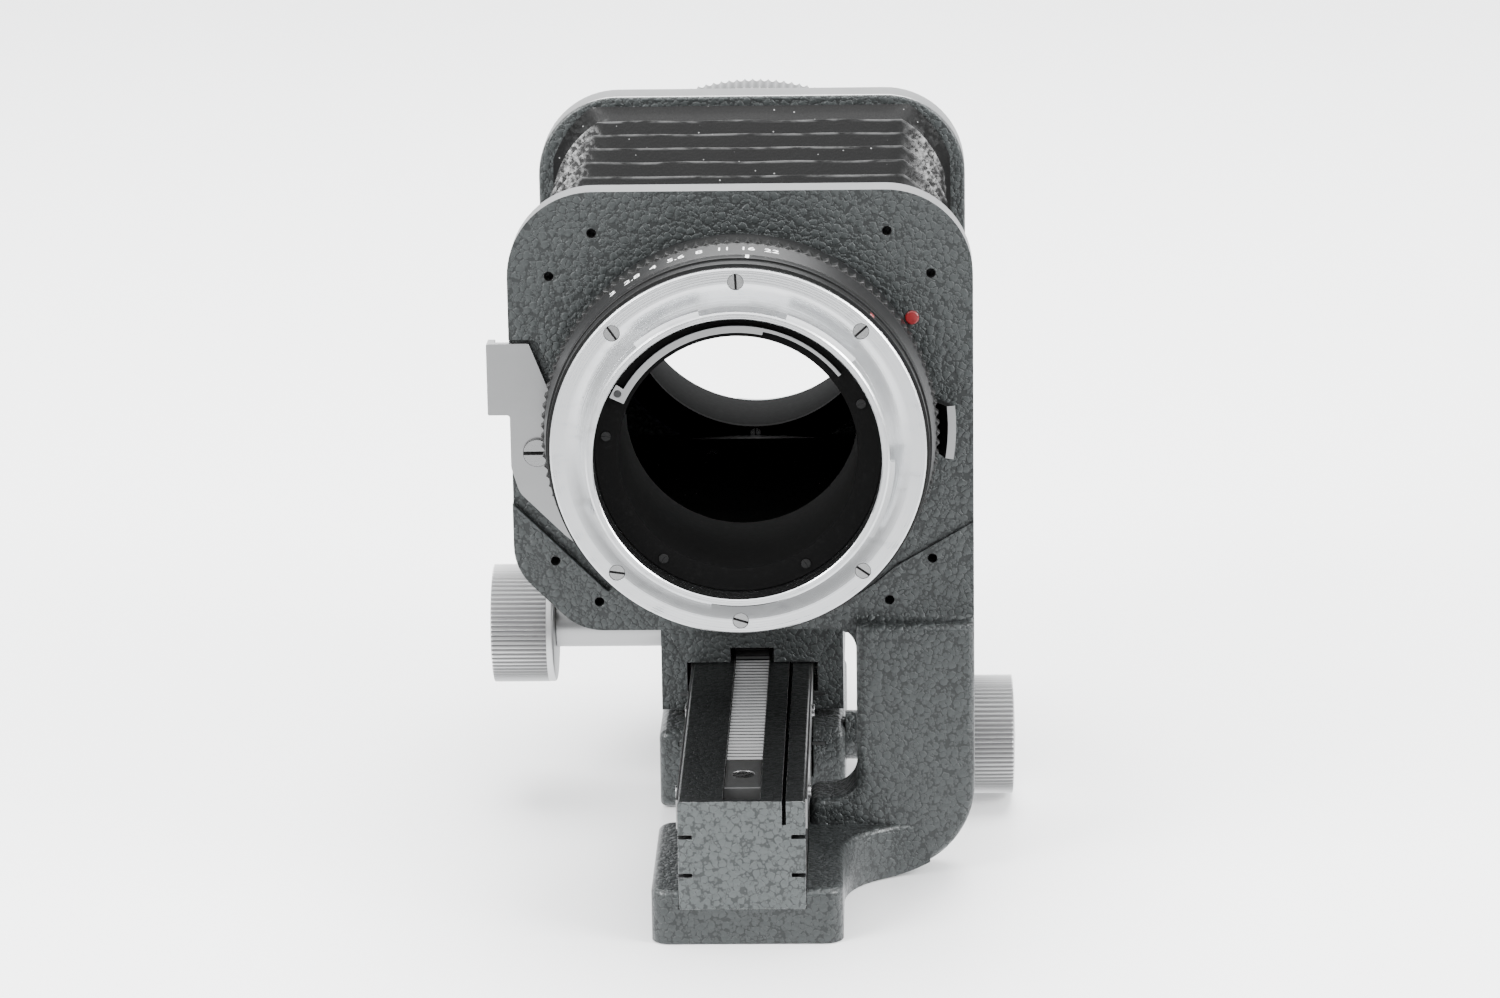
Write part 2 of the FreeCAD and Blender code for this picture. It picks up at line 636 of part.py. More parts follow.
def rack():
    """A straight rack: each tooth is a trapezoid on the pitch line, in mesh with the pinion."""
    start, end = rack_span()
    pitch = math.pi * GEAR_MODULE
    low = RACK_TOP - RACK_HEIGHT
    root = RACK_TOP - 2.25 * GEAR_MODULE
    first = start + RACK_PLAIN_END
    last = end - RACK_PLAIN_END
    slope = math.tan(math.radians(20))
    tip = pitch / 4 - GEAR_MODULE * slope
    foot_half = pitch / 4 + 1.25 * GEAR_MODULE * slope
    profile = [(start, low), (start, RACK_TOP), (first, RACK_TOP)]
    steps = int((SHAFT_Y - first) / pitch)
    gap = SHAFT_Y - steps * pitch
    while gap + foot_half < last:
        centre = gap
        valley = pitch / 2 - foot_half
        wide = pitch / 2 - tip
        profile += [(centre - wide, RACK_TOP), (centre - valley, root), (centre + valley, root), (centre + wide, RACK_TOP)]
        gap += pitch
    profile += [(end, RACK_TOP), (end, low)]
    points = [Vector(-RACK_WIDTH / 2, y, z) for y, z in profile]
    bar = Part.Face(Part.makePolygon(points + points[:1])).extrude(Vector(RACK_WIDTH, 0, 0))
    holes = []
    for y in rack_screw_places():
        holes.append(rod(1.05, (0, y, low - 1), (0, y, RACK_TOP + 1)))
        holes.append(rod(1.95, (0, y, RACK_TOP - 1.1), (0, y, RACK_TOP + 1)))
    return bar.cut(holes)


def rack_screws():
    """Slotted screws sunk in the rack's plain ends."""
    turns = (35, 70)
    screws = []
    for y, turn in zip(rack_screw_places(), turns):
        screws.append(slotted_screw(1.9, 1.0, 1.0, 6.0, 0.45, (0, y, RACK_TOP - 0.1), (0, 0, 1), turn))
    return group(screws)


def strip_span():
    """The scale strips' heights on the rail's sides."""
    top = RAIL_TOP - 0.3
    return top - STRIP_HEIGHT, top


def strip_screw_places():
    """The strips' screws on both sides of the rail, as points on its sides."""
    low, high = strip_span()
    places = []
    for x in (-RAIL_SIDE, RAIL_SIDE):
        y = RAIL_FRONT + 14.0
        while y < RAIL_BACK - 6:
            places.append((x, y, (low + high) / 2))
            y += STRIP_SCREW_SPACING
    return places


def scale_strip(side):
    """A thin engraved strip on one side of the rail."""
    low, high = strip_span()
    x = sorted((side * RAIL_SIDE, side * (RAIL_SIDE + STRIP_THICKNESS)))
    strip = block(x, (RAIL_FRONT + STRIP_END_MARGIN, RAIL_BACK - STRIP_END_MARGIN), (low, high))
    holes = []
    for px, y, z in strip_screw_places():
        if px * side > 0:
            holes.append(rod(0.55, (px - side, y, z), (px + 2 * side, y, z)))
    return strip.cut(holes)


def strip_screws():
    """Small round-headed screws that hold the strips."""
    screws = []
    for x, y, z in strip_screw_places():
        side = math.copysign(1, x)
        face = x + side * (STRIP_THICKNESS + 0.5)
        screws.append(slotted_screw(1.1, 0.5, 0.5, 2.2, 0.25, (face, y, z), (side, 0, 0)))
    return group(screws)


def foot_screws():
    """The screws that clamp the rail down in the foot."""
    screws = []
    for y in foot_screw_places():
        screws.append(slotted_screw(3.5, 2.0, 2.0, 11.0, 0.8, (0, y, 0.3), (0, 0, -1)))
    return group(screws)


def stop_screw_places():
    """The stop plate's screws in the rail's back end."""
    middle = RAIL_LIFT + 0.28 * RAIL_HEIGHT
    return ((-5.5, middle), (5.5, middle))


def rail_stop_plate():
    """The plate on the rail's back end that keeps the carriages on."""
    half = RAIL_SIDE + 2.0
    plate = front_slab([
        (-half, RAIL_LIFT + 1.5, 1.5),
        (half, RAIL_LIFT + 1.5, 1.5),
        (half, RAIL_TOP - 1.0, 1.5),
        (-half, RAIL_TOP - 1.0, 1.5),
    ], RAIL_BACK, RAIL_BACK + 2.0)
    holes = []
    for x, z in stop_screw_places():
        holes.append(rod(1.05, (x, RAIL_BACK - 1, z), (x, RAIL_BACK + 3, z)))
        holes.append(rod(1.95, (x, RAIL_BACK + 0.9, z), (x, RAIL_BACK + 3, z)))
    return plate.cut(holes)


def stop_plate_screws():
    """The stop plate's two slotted screws."""
    screws = []
    for x, z in stop_screw_places():
        screws.append(slotted_screw(1.9, 1.0, 1.0, 6.5, 0.4, (x, RAIL_BACK + 1.9, z), (0, 1, 0), 25))
    return group(screws)


# Camera mount
BARREL_SCREW_CIRCLE = BARREL_RADIUS - 2.5
BARREL_SCREW_ANGLES = (0.0, 90.0, 180.0, 270.0)
SHELF_THICKNESS = 3.0
APERTURE_STOP_ANGLE = 7.15
APERTURE_STOPS_DOWN = 1
APERTURE_STOPS_UP = 6
KEY_ANGLE = 152.0


def mount_barrel():
    """The fixed barrel between the plate and the camera flange."""
    shelf_back = FLANGE_BACK + SHELF_THICKNESS
    web = FRONT_FACE - 4.0
    spigot = FRONT_FACE + 5.0
    inner = BAFFLE_BORE + BAFFLE_WALL + 0.1
    hollow = BARREL_RADIUS - 4.5
    barrel = turned([
        (FLANGE_BACK, inner),
        (FLANGE_BACK, BARREL_RADIUS),
        (COLLAR_FRONT, BARREL_RADIUS),
        (COLLAR_FRONT, COLLAR_RADIUS),
        (FRONT_FACE - COLLAR_BACK, COLLAR_RADIUS),
        (FRONT_FACE - COLLAR_BACK, BARREL_SEAT_RADIUS),
        (FRONT_FACE, BARREL_SEAT_RADIUS),
        (FRONT_FACE, PLATE_BORE_RADIUS - RUNNING_GAP),
        (spigot, PLATE_BORE_RADIUS - RUNNING_GAP),
        (spigot, inner),
        (web, inner),
        (web, hollow),
        (shelf_back, hollow),
        (shelf_back, inner),
    ])
    low, high = drive_sweep(5)
    pin_slot = sector(PIN_ORBIT - PIN_RADIUS - 0.3, PIN_ORBIT + PIN_RADIUS + 0.3, low, high,
                      FLANGE_BACK - 1, shelf_back + 1)
    key_slot = sector(hollow - 1, COLLAR_RADIUS, low, high, key_span()[0] - 0.3, key_span()[1] + 0.3)
    holes = [axis_pin(0.85, FLANGE_SCREW_CIRCLE, a, FLANGE_BACK - 1, FLANGE_BACK + 4)
             for a in FLANGE_SCREW_ANGLES]
    holes += [axis_pin(0.95, BARREL_SCREW_CIRCLE, a, FRONT_FACE - 3.0, FRONT_FACE + 1)
              for a in BARREL_SCREW_ANGLES]
    holes += [axis_pin(0.45, BAFFLE_SCREW_CIRCLE, a, FLANGE_BACK - 1, FLANGE_BACK + 2)
              for a in BAFFLE_SCREW_ANGLES]
    return barrel.cut([pin_slot, key_slot] + holes)


def drive_sweep(margin):
    """The angles that the aperture ring's key passes over, with a margin at both ends."""
    low = KEY_ANGLE - APERTURE_STOPS_UP * APERTURE_STOP_ANGLE - margin
    high = KEY_ANGLE + APERTURE_STOPS_DOWN * APERTURE_STOP_ANGLE + margin
    return low, high


def camera_bayonet():
    """The male bayonet: a flange, and a spigot whose four lugs stand out at its rim."""
    face = FRONT_FACE - FLANGE_FRONT
    rim = face - SPIGOT_LENGTH
    body = turned([
        (rim, SPIGOT_BORE + 0.2),
        (rim, SPIGOT_RADIUS - 0.25),
        (rim + 0.25, SPIGOT_RADIUS),
        (face, SPIGOT_RADIUS),
        (face, FLANGE_RADIUS - 0.25),
        (face + 0.25, FLANGE_RADIUS),
        (FLANGE_BACK, FLANGE_RADIUS),
        (FLANGE_BACK, SPIGOT_BORE),
        (rim + 0.2, SPIGOT_BORE),
    ])
    lugs = [sector(SPIGOT_RADIUS - 0.6, SPIGOT_RADIUS + LUG_HEIGHT, a, b, rim + 0.25, rim + 0.25 + LUG_THICKNESS)
            for a, b in CAMERA_LUGS]
    cutters = []
    for angle in FLANGE_SCREW_ANGLES:
        cutters.append(axis_pin(0.85, FLANGE_SCREW_CIRCLE, angle, face - 1, FLANGE_BACK + 1))
        cutters.append(axis_pin(1.4, FLANGE_SCREW_CIRCLE, angle, face - 1, face + 0.8))
    return body.fuse(lugs).cut(cutters)


def camera_bayonet_screws():
    """Six slotted screws, flush in the flange."""
    face = FRONT_FACE - FLANGE_FRONT
    turns = (42, 92, 125, 172, 163, 145)
    return group(slotted_screw(1.35, 0.7, 0.8, 4.6, 0.3, on_axis(FLANGE_SCREW_CIRCLE, angle, face + 0.05),
                               (0, -1, 0), turn)
                 for angle, turn in zip(FLANGE_SCREW_ANGLES, turns))


def index_ring():
    """The fixed ring behind the flange that carries the index mark."""
    r = BARREL_RADIUS + INDEX_RING_WALL
    inner = BARREL_RADIUS + RUNNING_GAP
    middle = FLANGE_BACK + INDEX_RING_WIDTH / 2
    return turned([
        (FLANGE_BACK, inner),
        (FLANGE_BACK, r),
        (middle, r),
        (middle, r + 0.4),
        (INDEX_BACK, r + 0.4),
        (INDEX_BACK, inner),
    ])


def aperture_ring():
    """The turning aperture ring: a numbered cone and a knurled rim."""
    inner = BARREL_RADIUS + 2 * RUNNING_GAP
    knurl_front = APERTURE_BACK - APERTURE_KNURL_WIDTH
    cone = turned([
        (APERTURE_FRONT, inner),
        (APERTURE_FRONT, inner + APERTURE_FRONT_WALL),
        (knurl_front, inner + APERTURE_FRONT_WALL + APERTURE_CONE_RISE),
        (APERTURE_BACK, inner + APERTURE_FRONT_WALL + APERTURE_CONE_RISE),
        (APERTURE_BACK, inner),
    ])
    rim_radius = inner + APERTURE_FRONT_WALL + APERTURE_KNURL_RISE
    rim = ridged_disc(rim_radius, APERTURE_KNURL_DEPTH, APERTURE_KNURLS, APERTURE_KNURL_WIDTH)
    rim.rotate(Vector(0, 0, 0), Vector(1, 0, 0), -90)
    rim.translate(Vector(0, knurl_front, AXIS_HEIGHT))
    bore = rod(inner, on_axis(0, 0, knurl_front - 1), on_axis(0, 0, APERTURE_BACK + 1))
    key_hole = rod(0.8, on_axis(inner - 1, KEY_ANGLE, sum(key_span()) / 2),
                   on_axis(inner + 0.9, KEY_ANGLE, sum(key_span()) / 2))
    return cone.fuse(rim.cut(bore)).cut(key_hole)


def key_span():
    """Where the aperture ring's key lies along Y."""
    middle = (APERTURE_FRONT + APERTURE_BACK) / 2
    return middle - 0.75, middle + 0.75


def aperture_key():
    """The round key that carries the ring's turn inwards to the drive pin."""
    middle = sum(key_span()) / 2
    inner = BARREL_RADIUS + 2 * RUNNING_GAP
    return rod(0.75, on_axis(PIN_ORBIT + 0.75, KEY_ANGLE, middle), on_axis(inner + 0.85, KEY_ANGLE, middle))


def diaphragm_drive_pin():
    """The pin that reaches forward through the baffle to the bright drive sector."""
    front = baffle_face_front() - 0.95
    back = key_span()[1] + 0.2
    pin = axis_pin(PIN_RADIUS, PIN_ORBIT, KEY_ANGLE, front, back)
    middle = sum(key_span()) / 2
    boss = rod(1.3, on_axis(PIN_ORBIT, KEY_ANGLE, middle - 1.4), on_axis(PIN_ORBIT, KEY_ANGLE, middle + 1.4))
    key_seat = rod(0.77, on_axis(PIN_ORBIT + 0.7, KEY_ANGLE, middle), on_axis(PIN_ORBIT + 3, KEY_ANGLE, middle))
    return pin.fuse(boss).cut(key_seat)


def diaphragm_drive_ring():
    """The bright sector on the drive pin, in front of the baffle."""
    back = baffle_face_front() - 0.3
    front = back - 0.6
    edge = PIN_ORBIT - PIN_RADIUS + 0.1
    broad = sector(BAFFLE_BORE + 0.8, edge, 78, KEY_ANGLE + 3, front, back)
    narrow = sector(edge - 0.6, edge, 38, 78.5, front, back)
    lug = sector(BAFFLE_BORE + 0.8, PIN_ORBIT + PIN_RADIUS + 0.35, KEY_ANGLE - 3, KEY_ANGLE + 3, front, back)
    hole = axis_pin(PIN_RADIUS + 0.02, PIN_ORBIT, KEY_ANGLE, front - 1, back + 1)
    return broad.fuse([narrow, lug]).cut(hole)


BAFFLE_SCREW_CIRCLE = SPIGOT_BORE - 1.85
BAFFLE_SCREW_ANGLES = (22.0, 172.0, 235.0, 300.0)


def baffle_face_front():
    """The baffle face's front along Y, just proud of the flange's face."""
    return FRONT_FACE - FLANGE_FRONT - 0.1


def light_baffle():
    """The black baffle: a face ring in the flange's bore and a tube through the plate."""
    front = baffle_face_front()
    back = FRONT_FACE + 5.0
    rim = SPIGOT_BORE - 0.1
    baffle = turned([
        (front, BAFFLE_BORE),
        (front, rim),
        (FLANGE_BACK, rim),
        (FLANGE_BACK, BAFFLE_BORE + BAFFLE_WALL),
        (back, BAFFLE_BORE + BAFFLE_WALL),
        (back, BAFFLE_BORE),
    ])
    low, high = drive_sweep(4)
    slot = sector(PIN_ORBIT - PIN_RADIUS - 0.2, PIN_ORBIT + PIN_RADIUS + 0.2, low, high, front - 1, FLANGE_BACK + 1)
    holes = [axis_pin(0.45, BAFFLE_SCREW_CIRCLE, a, front - 1, FLANGE_BACK + 1) for a in BAFFLE_SCREW_ANGLES]
    return baffle.cut([slot] + holes)


def baffle_screws():
    """Small black screws in the baffle's face."""
    screws = []
    for angle in BAFFLE_SCREW_ANGLES:
        place = on_axis(BAFFLE_SCREW_CIRCLE, angle, baffle_face_front() - 0.25)
        screws.append(slotted_screw(0.8, 0.25, 0.4, 2.4, 0.15, place, (0, -1, 0), angle))
    return group(screws)


def barrel_screws():
    """Four screws from the plate's back into the barrel."""
    screws = []
    for angle in BARREL_SCREW_ANGLES:
        place = on_axis(BARREL_SCREW_CIRCLE, angle, FRONT_BACK - 0.2)
        screws.append(slotted_screw(1.75, 1.1, 0.9, 8.0, 0.4, place, (0, 1, 0), angle))
    return group(screws)


def release_tab_ring():
    """A ring behind the collar whose curved tab flares out on the right."""
    front = FRONT_FACE - COLLAR_BACK + 0.3
    back = front + 1.4
    ring = tube(BARREL_SEAT_RADIUS + 2 * RUNNING_GAP, COLLAR_RADIUS - 0.6, front, back)
    wall = 1.4
    root = COLLAR_RADIUS + 0.4
    tip = COLLAR_RADIUS + 3.7
    reach = 4.0
    flare = turned([
        (back, root - 1.2),
        (back, root + wall - 0.6),
        (front - reach, tip),
        (front - reach, tip - wall),
        (front - 0.1, root),
        (front, root - 1.2),
    ])
    wedge = sector(root - 12, root + 12, -9.2, 5.6, front - reach - 1, back + 1)
    return ring.fuse(flare.common(wedge))


# Bellows group
def bellows_centre():
    """The height of the bellows' middle, which is the middle of the plates."""
    return (PLATE_TOP + PLATE_BOTTOM) / 2


def bellows_depth():
    """How deep the pleats are at this extension, from the length of their slopes."""
    start, end = bellows_span()
    half_pitch = (end - start) / BELLOWS_PLEATS / 2
    return math.sqrt(BELLOWS_SLOPE ** 2 - half_pitch ** 2)


def bellows_span():
    """The bellows' ends along Y, on its two frames."""
    return FRONT_BACK + FRONT_FRAME_THICKNESS, REAR_FACE - REAR_FRAME_THICKNESS


def octagon(half, bevel, y):
    """A square with bevelled corners about the bellows' middle."""
    z = bellows_centre()
    flat = half - bevel
    corners = [(half, flat), (flat, half), (-flat, half), (-half, flat),
               (-half, -flat), (-flat, -half), (flat, -half), (half, -flat)]
    points = [Vector(a, y, z + b) for a, b in corners]
    return Part.makePolygon(points + points[:1])


def pleated(inset):
    """A pleated solid whose folds lie inside the outer folds by the inset."""
    start, end = bellows_span()
    folds = 2 * BELLOWS_PLEATS
    depth = bellows_depth()
    wires = []
    for i in range(folds + 1):
        y = start + (end - start) * i / folds
        ridge = i % 2 == 1
        half = BELLOWS_HALF_WIDTH - (0 if ridge else depth)
        bevel = BELLOWS_RIDGE_BEVEL if ridge else BELLOWS_VALLEY_BEVEL
        wires.append(octagon(half - inset, bevel, y))
    return Part.makeLoft(wires, True, True)


def bellows():
    """The bellows: a thin pleated skin with bevelled corners."""
    return pleated(0).cut(pleated(BELLOWS_WALL))


def frame_half():
    """Half the outer width of the bellows' frames."""
    return BELLOWS_HALF_WIDTH - bellows_depth() + FRAME_MARGIN


def bellows_frame(y0, y1):
    """A flat frame that holds one end of the bellows on its standard."""
    outer = Part.Face(octagon(frame_half(), BELLOWS_VALLEY_BEVEL, y0))
    inner_half = BELLOWS_HALF_WIDTH - bellows_depth() - BELLOWS_WALL
    inner = Part.Face(octagon(inner_half, BELLOWS_VALLEY_BEVEL, y0))
    frame = outer.cut(inner).extrude(Vector(0, y1 - y0, 0))
    holes = [rod(0.85, (x, y0 - 1, z), (x, y1 + 1, z)) for x, z in frame_screw_places()]
    return frame.cut(holes)


def frame_screw_places():
    """The frames' screws, one beside each middle of a side."""
    z = bellows_centre()
    at = frame_half() - FRAME_MARGIN / 2 + 0.3
    return [(at, z + 8), (-at, z + 8), (8, z + at), (-8, z - at)]


def frame_screws(y_face, outward):
    """The screws of one bellows frame."""
    return group(slotted_screw(1.5, 0.6, 0.8, 4.4, 0.3, (x, y_face + outward * 0.6, z), (0, outward, 0))
                 for x, z in frame_screw_places())


# Lens standard
def far_plate():
    """The upright plate of the lens standard."""
    right = PLATE_HALF_WIDTH
    arm_side = [
        (right, PLATE_BOTTOM + PLATE_BEVEL, PLATE_BEVEL_ROUND),
        (right - PLATE_BEVEL, PLATE_BOTTOM, PLATE_BEVEL_ROUND),
    ]
    plate = front_slab(plate_corners(arm_side), REAR_FACE, REAR_BACK)
    return softened(plate, CAST_EDGE, lambda edge: lies_at_y(edge, REAR_FACE) or lies_at_y(edge, REAR_BACK))


def neck():
    """The saddle on the rail that carries the plate."""
    cheek = RAIL_TOP - CHEEK_DROP
    half = CARRIAGE_HALF_WIDTH
    step = NECK_FRONT + NECK_FACE_STEP
    saddle = side_slab([
        (step, cheek, 0),
        (step, NECK_FRONT_HEIGHT, 3.0),
        (REAR_FACE, NECK_BACK_HEIGHT, 0),
        (REAR_FACE, NECK_BACK_HEIGHT + 4, 0),
        (REAR_BACK, NECK_BACK_HEIGHT + 4, 0),
        (REAR_BACK, cheek, 0),
    ], -half, half)
    face = front_slab([
        (-12.2, RAIL_TOP + SLIDE_GAP, 0),
        (-half, NECK_FRONT_HEIGHT - 4.5, 0),
        (-half, NECK_FRONT_HEIGHT - 1.5, 1.0),
        (half, NECK_FRONT_HEIGHT - 1.5, 1.0),
        (half, NECK_FRONT_HEIGHT - 4.5, 0),
        (12.2, RAIL_TOP + SLIDE_GAP, 0),
    ], NECK_FRONT, step + 3.5)
    return saddle.fuse(face)


def saddle_room(y0, y1, low):
    """The room that a carriage leaves for the rail, its strips and its screws."""
    side = RAIL_SIDE + SLIDE_GAP
    strip_side = RAIL_SIDE + STRIP_THICKNESS + 0.9
    strip_low = strip_span()[0] - SLIDE_GAP
    roof = RAIL_TOP + SLIDE_GAP
    lower = block((-side, side), (y0, y1), (low, roof))
    upper = block((-strip_side, strip_side), (y0, y1), (strip_low, roof))
    return [lower, upper]


def key_slots(y_spans, groove):
    """Slots for the guide keys in a carriage's cheeks."""
    cutters = []
    z = RAIL_LIFT + groove
    for side, y0, y1 in y_spans:
        x = sorted((side * RAIL_SIDE, side * (RAIL_SIDE + SLIDE_GAP + KEY_SEAT)))
        cutters.append(block(x, (y0, y1), (z - KEY_THICKNESS / 2, z + KEY_THICKNESS / 2)))
    return cutters


def guide_keys(y_spans, groove):
    """Thin steel strips in the cheeks that run in the rail's grooves."""
    keys = []
    z = RAIL_LIFT + groove
    for side, y0, y1 in y_spans:
        x = sorted((side * (RAIL_SIDE - KEY_OVERLAP), side * (RAIL_SIDE + SLIDE_GAP + KEY_SEAT)))
        keys.append(block(x, (y0, y1), (z - KEY_THICKNESS / 2, z + KEY_THICKNESS / 2)))
    return group(keys)


def upper_key_spans():
    """The lens standard's keys: one along each cheek."""
    start = NECK_FRONT + NECK_FACE_STEP
    return [(-1, start, REAR_BACK), (1, start, REAR_BACK)]


def lens_standard():
    """The lens standard: plate and saddle in one casting."""
    body = far_plate().fuse(neck())
    cutters = saddle_room(NECK_FRONT - 1, REAR_BACK + 1, 0)
    cutters += key_slots(upper_key_spans(), UPPER_GROOVE)
    tip = PITCH_RADIUS + GEAR_MODULE + 0.5
    cavity_half = RACK_WIDTH / 2 + 0.9
    cutters.append(rod(tip, (-cavity_half, SHAFT_Y, SHAFT_HEIGHT), (cavity_half, SHAFT_Y, SHAFT_HEIGHT)))
    cutters.append(block((-cavity_half, cavity_half), (NECK_FRONT - 1, SHAFT_Y), (RAIL_TOP, RAIL_TOP + 3)))
    cutters.append(rod(SLEEVE_RADIUS, (-CARRIAGE_HALF_WIDTH - 1, SHAFT_Y, SHAFT_HEIGHT),
                       (-cavity_half, SHAFT_Y, SHAFT_HEIGHT)))
    cutters.append(rod(SLEEVE_RADIUS, (cavity_half - 1, SHAFT_Y, SHAFT_HEIGHT),
                       (bush_end(), SHAFT_Y, SHAFT_HEIGHT)))
    cutters.append(rod(PLATE_BORE_RADIUS, on_axis(0, 0, REAR_FACE - 1), on_axis(0, 0, REAR_BACK + 1)))
    cutters.append(rod(RETAINER_RADIUS + 0.3, on_axis(0, 0, REAR_FACE - 1), on_axis(0, 0, REAR_FACE + RETAINER_DEPTH)))
    for x, z in frame_screw_places():
        cutters.append(rod(0.85, (x, REAR_FACE - 1, z), (x, REAR_FACE + 3.5, z)))
    return body.cut(cutters)


def bush_end():
    """The inner end of the right bush, in the saddle's right cheek."""
    return CARRIAGE_HALF_WIDTH - 4.0


def shaft_sleeve():
    """The bright sleeve that carries the drive shaft out to the knob."""
    end = -RACK_WIDTH / 2 - 0.9
    sleeve = rod(SLEEVE_RADIUS - 0.02, (-KNOB_INNER_FACE, SHAFT_Y, SHAFT_HEIGHT), (end, SHAFT_Y, SHAFT_HEIGHT))
    bore = rod(DRIVE_SHAFT_RADIUS + RUNNING_GAP, (-KNOB_INNER_FACE - 1, SHAFT_Y, SHAFT_HEIGHT),
               (end + 1, SHAFT_Y, SHAFT_HEIGHT))
    return sleeve.cut(bore)


def shaft_bush():
    """The plain bush at the shaft's far end."""
    start = RACK_WIDTH / 2 + 0.9
    bush = rod(SLEEVE_RADIUS - 0.02, (start, SHAFT_Y, SHAFT_HEIGHT), (bush_end(), SHAFT_Y, SHAFT_HEIGHT))
    bore = rod(DRIVE_SHAFT_RADIUS + RUNNING_GAP, (start - 1, SHAFT_Y, SHAFT_HEIGHT),
               (bush_end() + 1, SHAFT_Y, SHAFT_HEIGHT))
    return bush.cut(bore)


# Focus drive
def gear_outline(teeth, module):
    """A spur gear's outline as (radius, angle) points, four for each tooth."""
    pitch_radius = module * teeth / 2
    outer = pitch_radius + module
    root = pitch_radius - 1.25 * module
    step = 2 * math.pi / teeth
    points = []
    for i in range(teeth):
        centre = i * step
        for radius, share in ((root, -0.33), (outer, -0.11), (outer, 0.11), (root, 0.33)):
            points.append((radius, centre + share * step))
    return points


def pinion():
    """The pinion, with a tooth straight down in a gap of the rack."""
    points = []
    for radius, angle in gear_outline(PINION_TEETH, GEAR_MODULE):
        a = angle - math.pi / 2
        points.append(Vector(-RACK_WIDTH / 2, SHAFT_Y + radius * math.cos(a), SHAFT_HEIGHT + radius * math.sin(a)))
    gear = Part.Face(Part.makePolygon(points + points[:1])).extrude(Vector(RACK_WIDTH, 0, 0))
    half = RACK_WIDTH / 2 + 1
    bore = rod(DRIVE_SHAFT_RADIUS + 0.02, (-half, SHAFT_Y, SHAFT_HEIGHT), (half, SHAFT_Y, SHAFT_HEIGHT))
    return gear.cut(bore)


def drive_shaft():
    """The shaft from the focus knob through the pinion to the far bush."""
    outer = -KNOB_INNER_FACE - KNOB_COLLAR_LENGTH - KNOB_GRIP_LENGTH + 3.0
    return rod(DRIVE_SHAFT_RADIUS, (outer, SHAFT_Y, SHAFT_HEIGHT), (bush_end() - 0.2, SHAFT_Y, SHAFT_HEIGHT))


def knob(shaft_radius):
    """A ridged knob with a smooth collar, its inner face at z = 0 and its domed end up."""
    collar = Part.makeCylinder(KNOB_RADIUS - 0.1, KNOB_COLLAR_LENGTH)
    collar = collar.makeChamfer(0.3, [e for e in collar.Edges if e.BoundBox.ZMax < 1e-6])
    grip = ridged_disc(KNOB_RADIUS, KNOB_RIDGE_DEPTH, KNOB_RIDGES, KNOB_GRIP_LENGTH)
    grip.translate(Vector(0, 0, KNOB_COLLAR_LENGTH))
    length = KNOB_COLLAR_LENGTH + KNOB_GRIP_LENGTH
    rim = KNOB_RADIUS - KNOB_RIDGE_DEPTH - 0.2
    crown = (rim ** 2 + KNOB_DOME ** 2) / (2 * KNOB_DOME)
    ball = Part.makeSphere(crown, Vector(0, 0, length + KNOB_DOME - crown))
    dome = Part.makeCylinder(rim, KNOB_DOME + 0.1, Vector(0, 0, length - 0.1)).common(ball)
    bore = Part.makeCylinder(shaft_radius + 0.02, length - 3.0)
    return collar.fuse([grip, dome]).cut(bore)


def focus_knob():
    """The focus knob, on the left."""
    shape = knob(DRIVE_SHAFT_RADIUS)
    shape.rotate(Vector(0, 0, 0), Vector(0, 1, 0), -90)
    shape.translate(Vector(-KNOB_INNER_FACE - KNOB_GAP, SHAFT_Y, SHAFT_HEIGHT))
    return shape


KNOB_GAP = 0.1


def clamp_knob():
    """The clamp knob, on the right."""
    shape = knob(CLAMP_SHAFT_RADIUS)
    shape.rotate(Vector(0, 0, 0), Vector(0, 1, 0), 90)
    shape.translate(Vector(KNOB_INNER_FACE + KNOB_GAP, CLAMP_Y, CLAMP_HEIGHT))
    return shape


# Lens mount
RETAINER_RADIUS = PLATE_BORE_RADIUS + 2.3
RETAINER_DEPTH = 1.6
RETAINER_SCREW_ANGLES = (30.0, 150.0, 270.0)
MOUNT_SPIGOT_WALL = 2.6


def mount_spigot():
    """The mount's spigot in the plate as its outer and inner radius."""
    outer = PLATE_BORE_RADIUS - RUNNING_GAP
    return outer, outer - MOUNT_SPIGOT_WALL


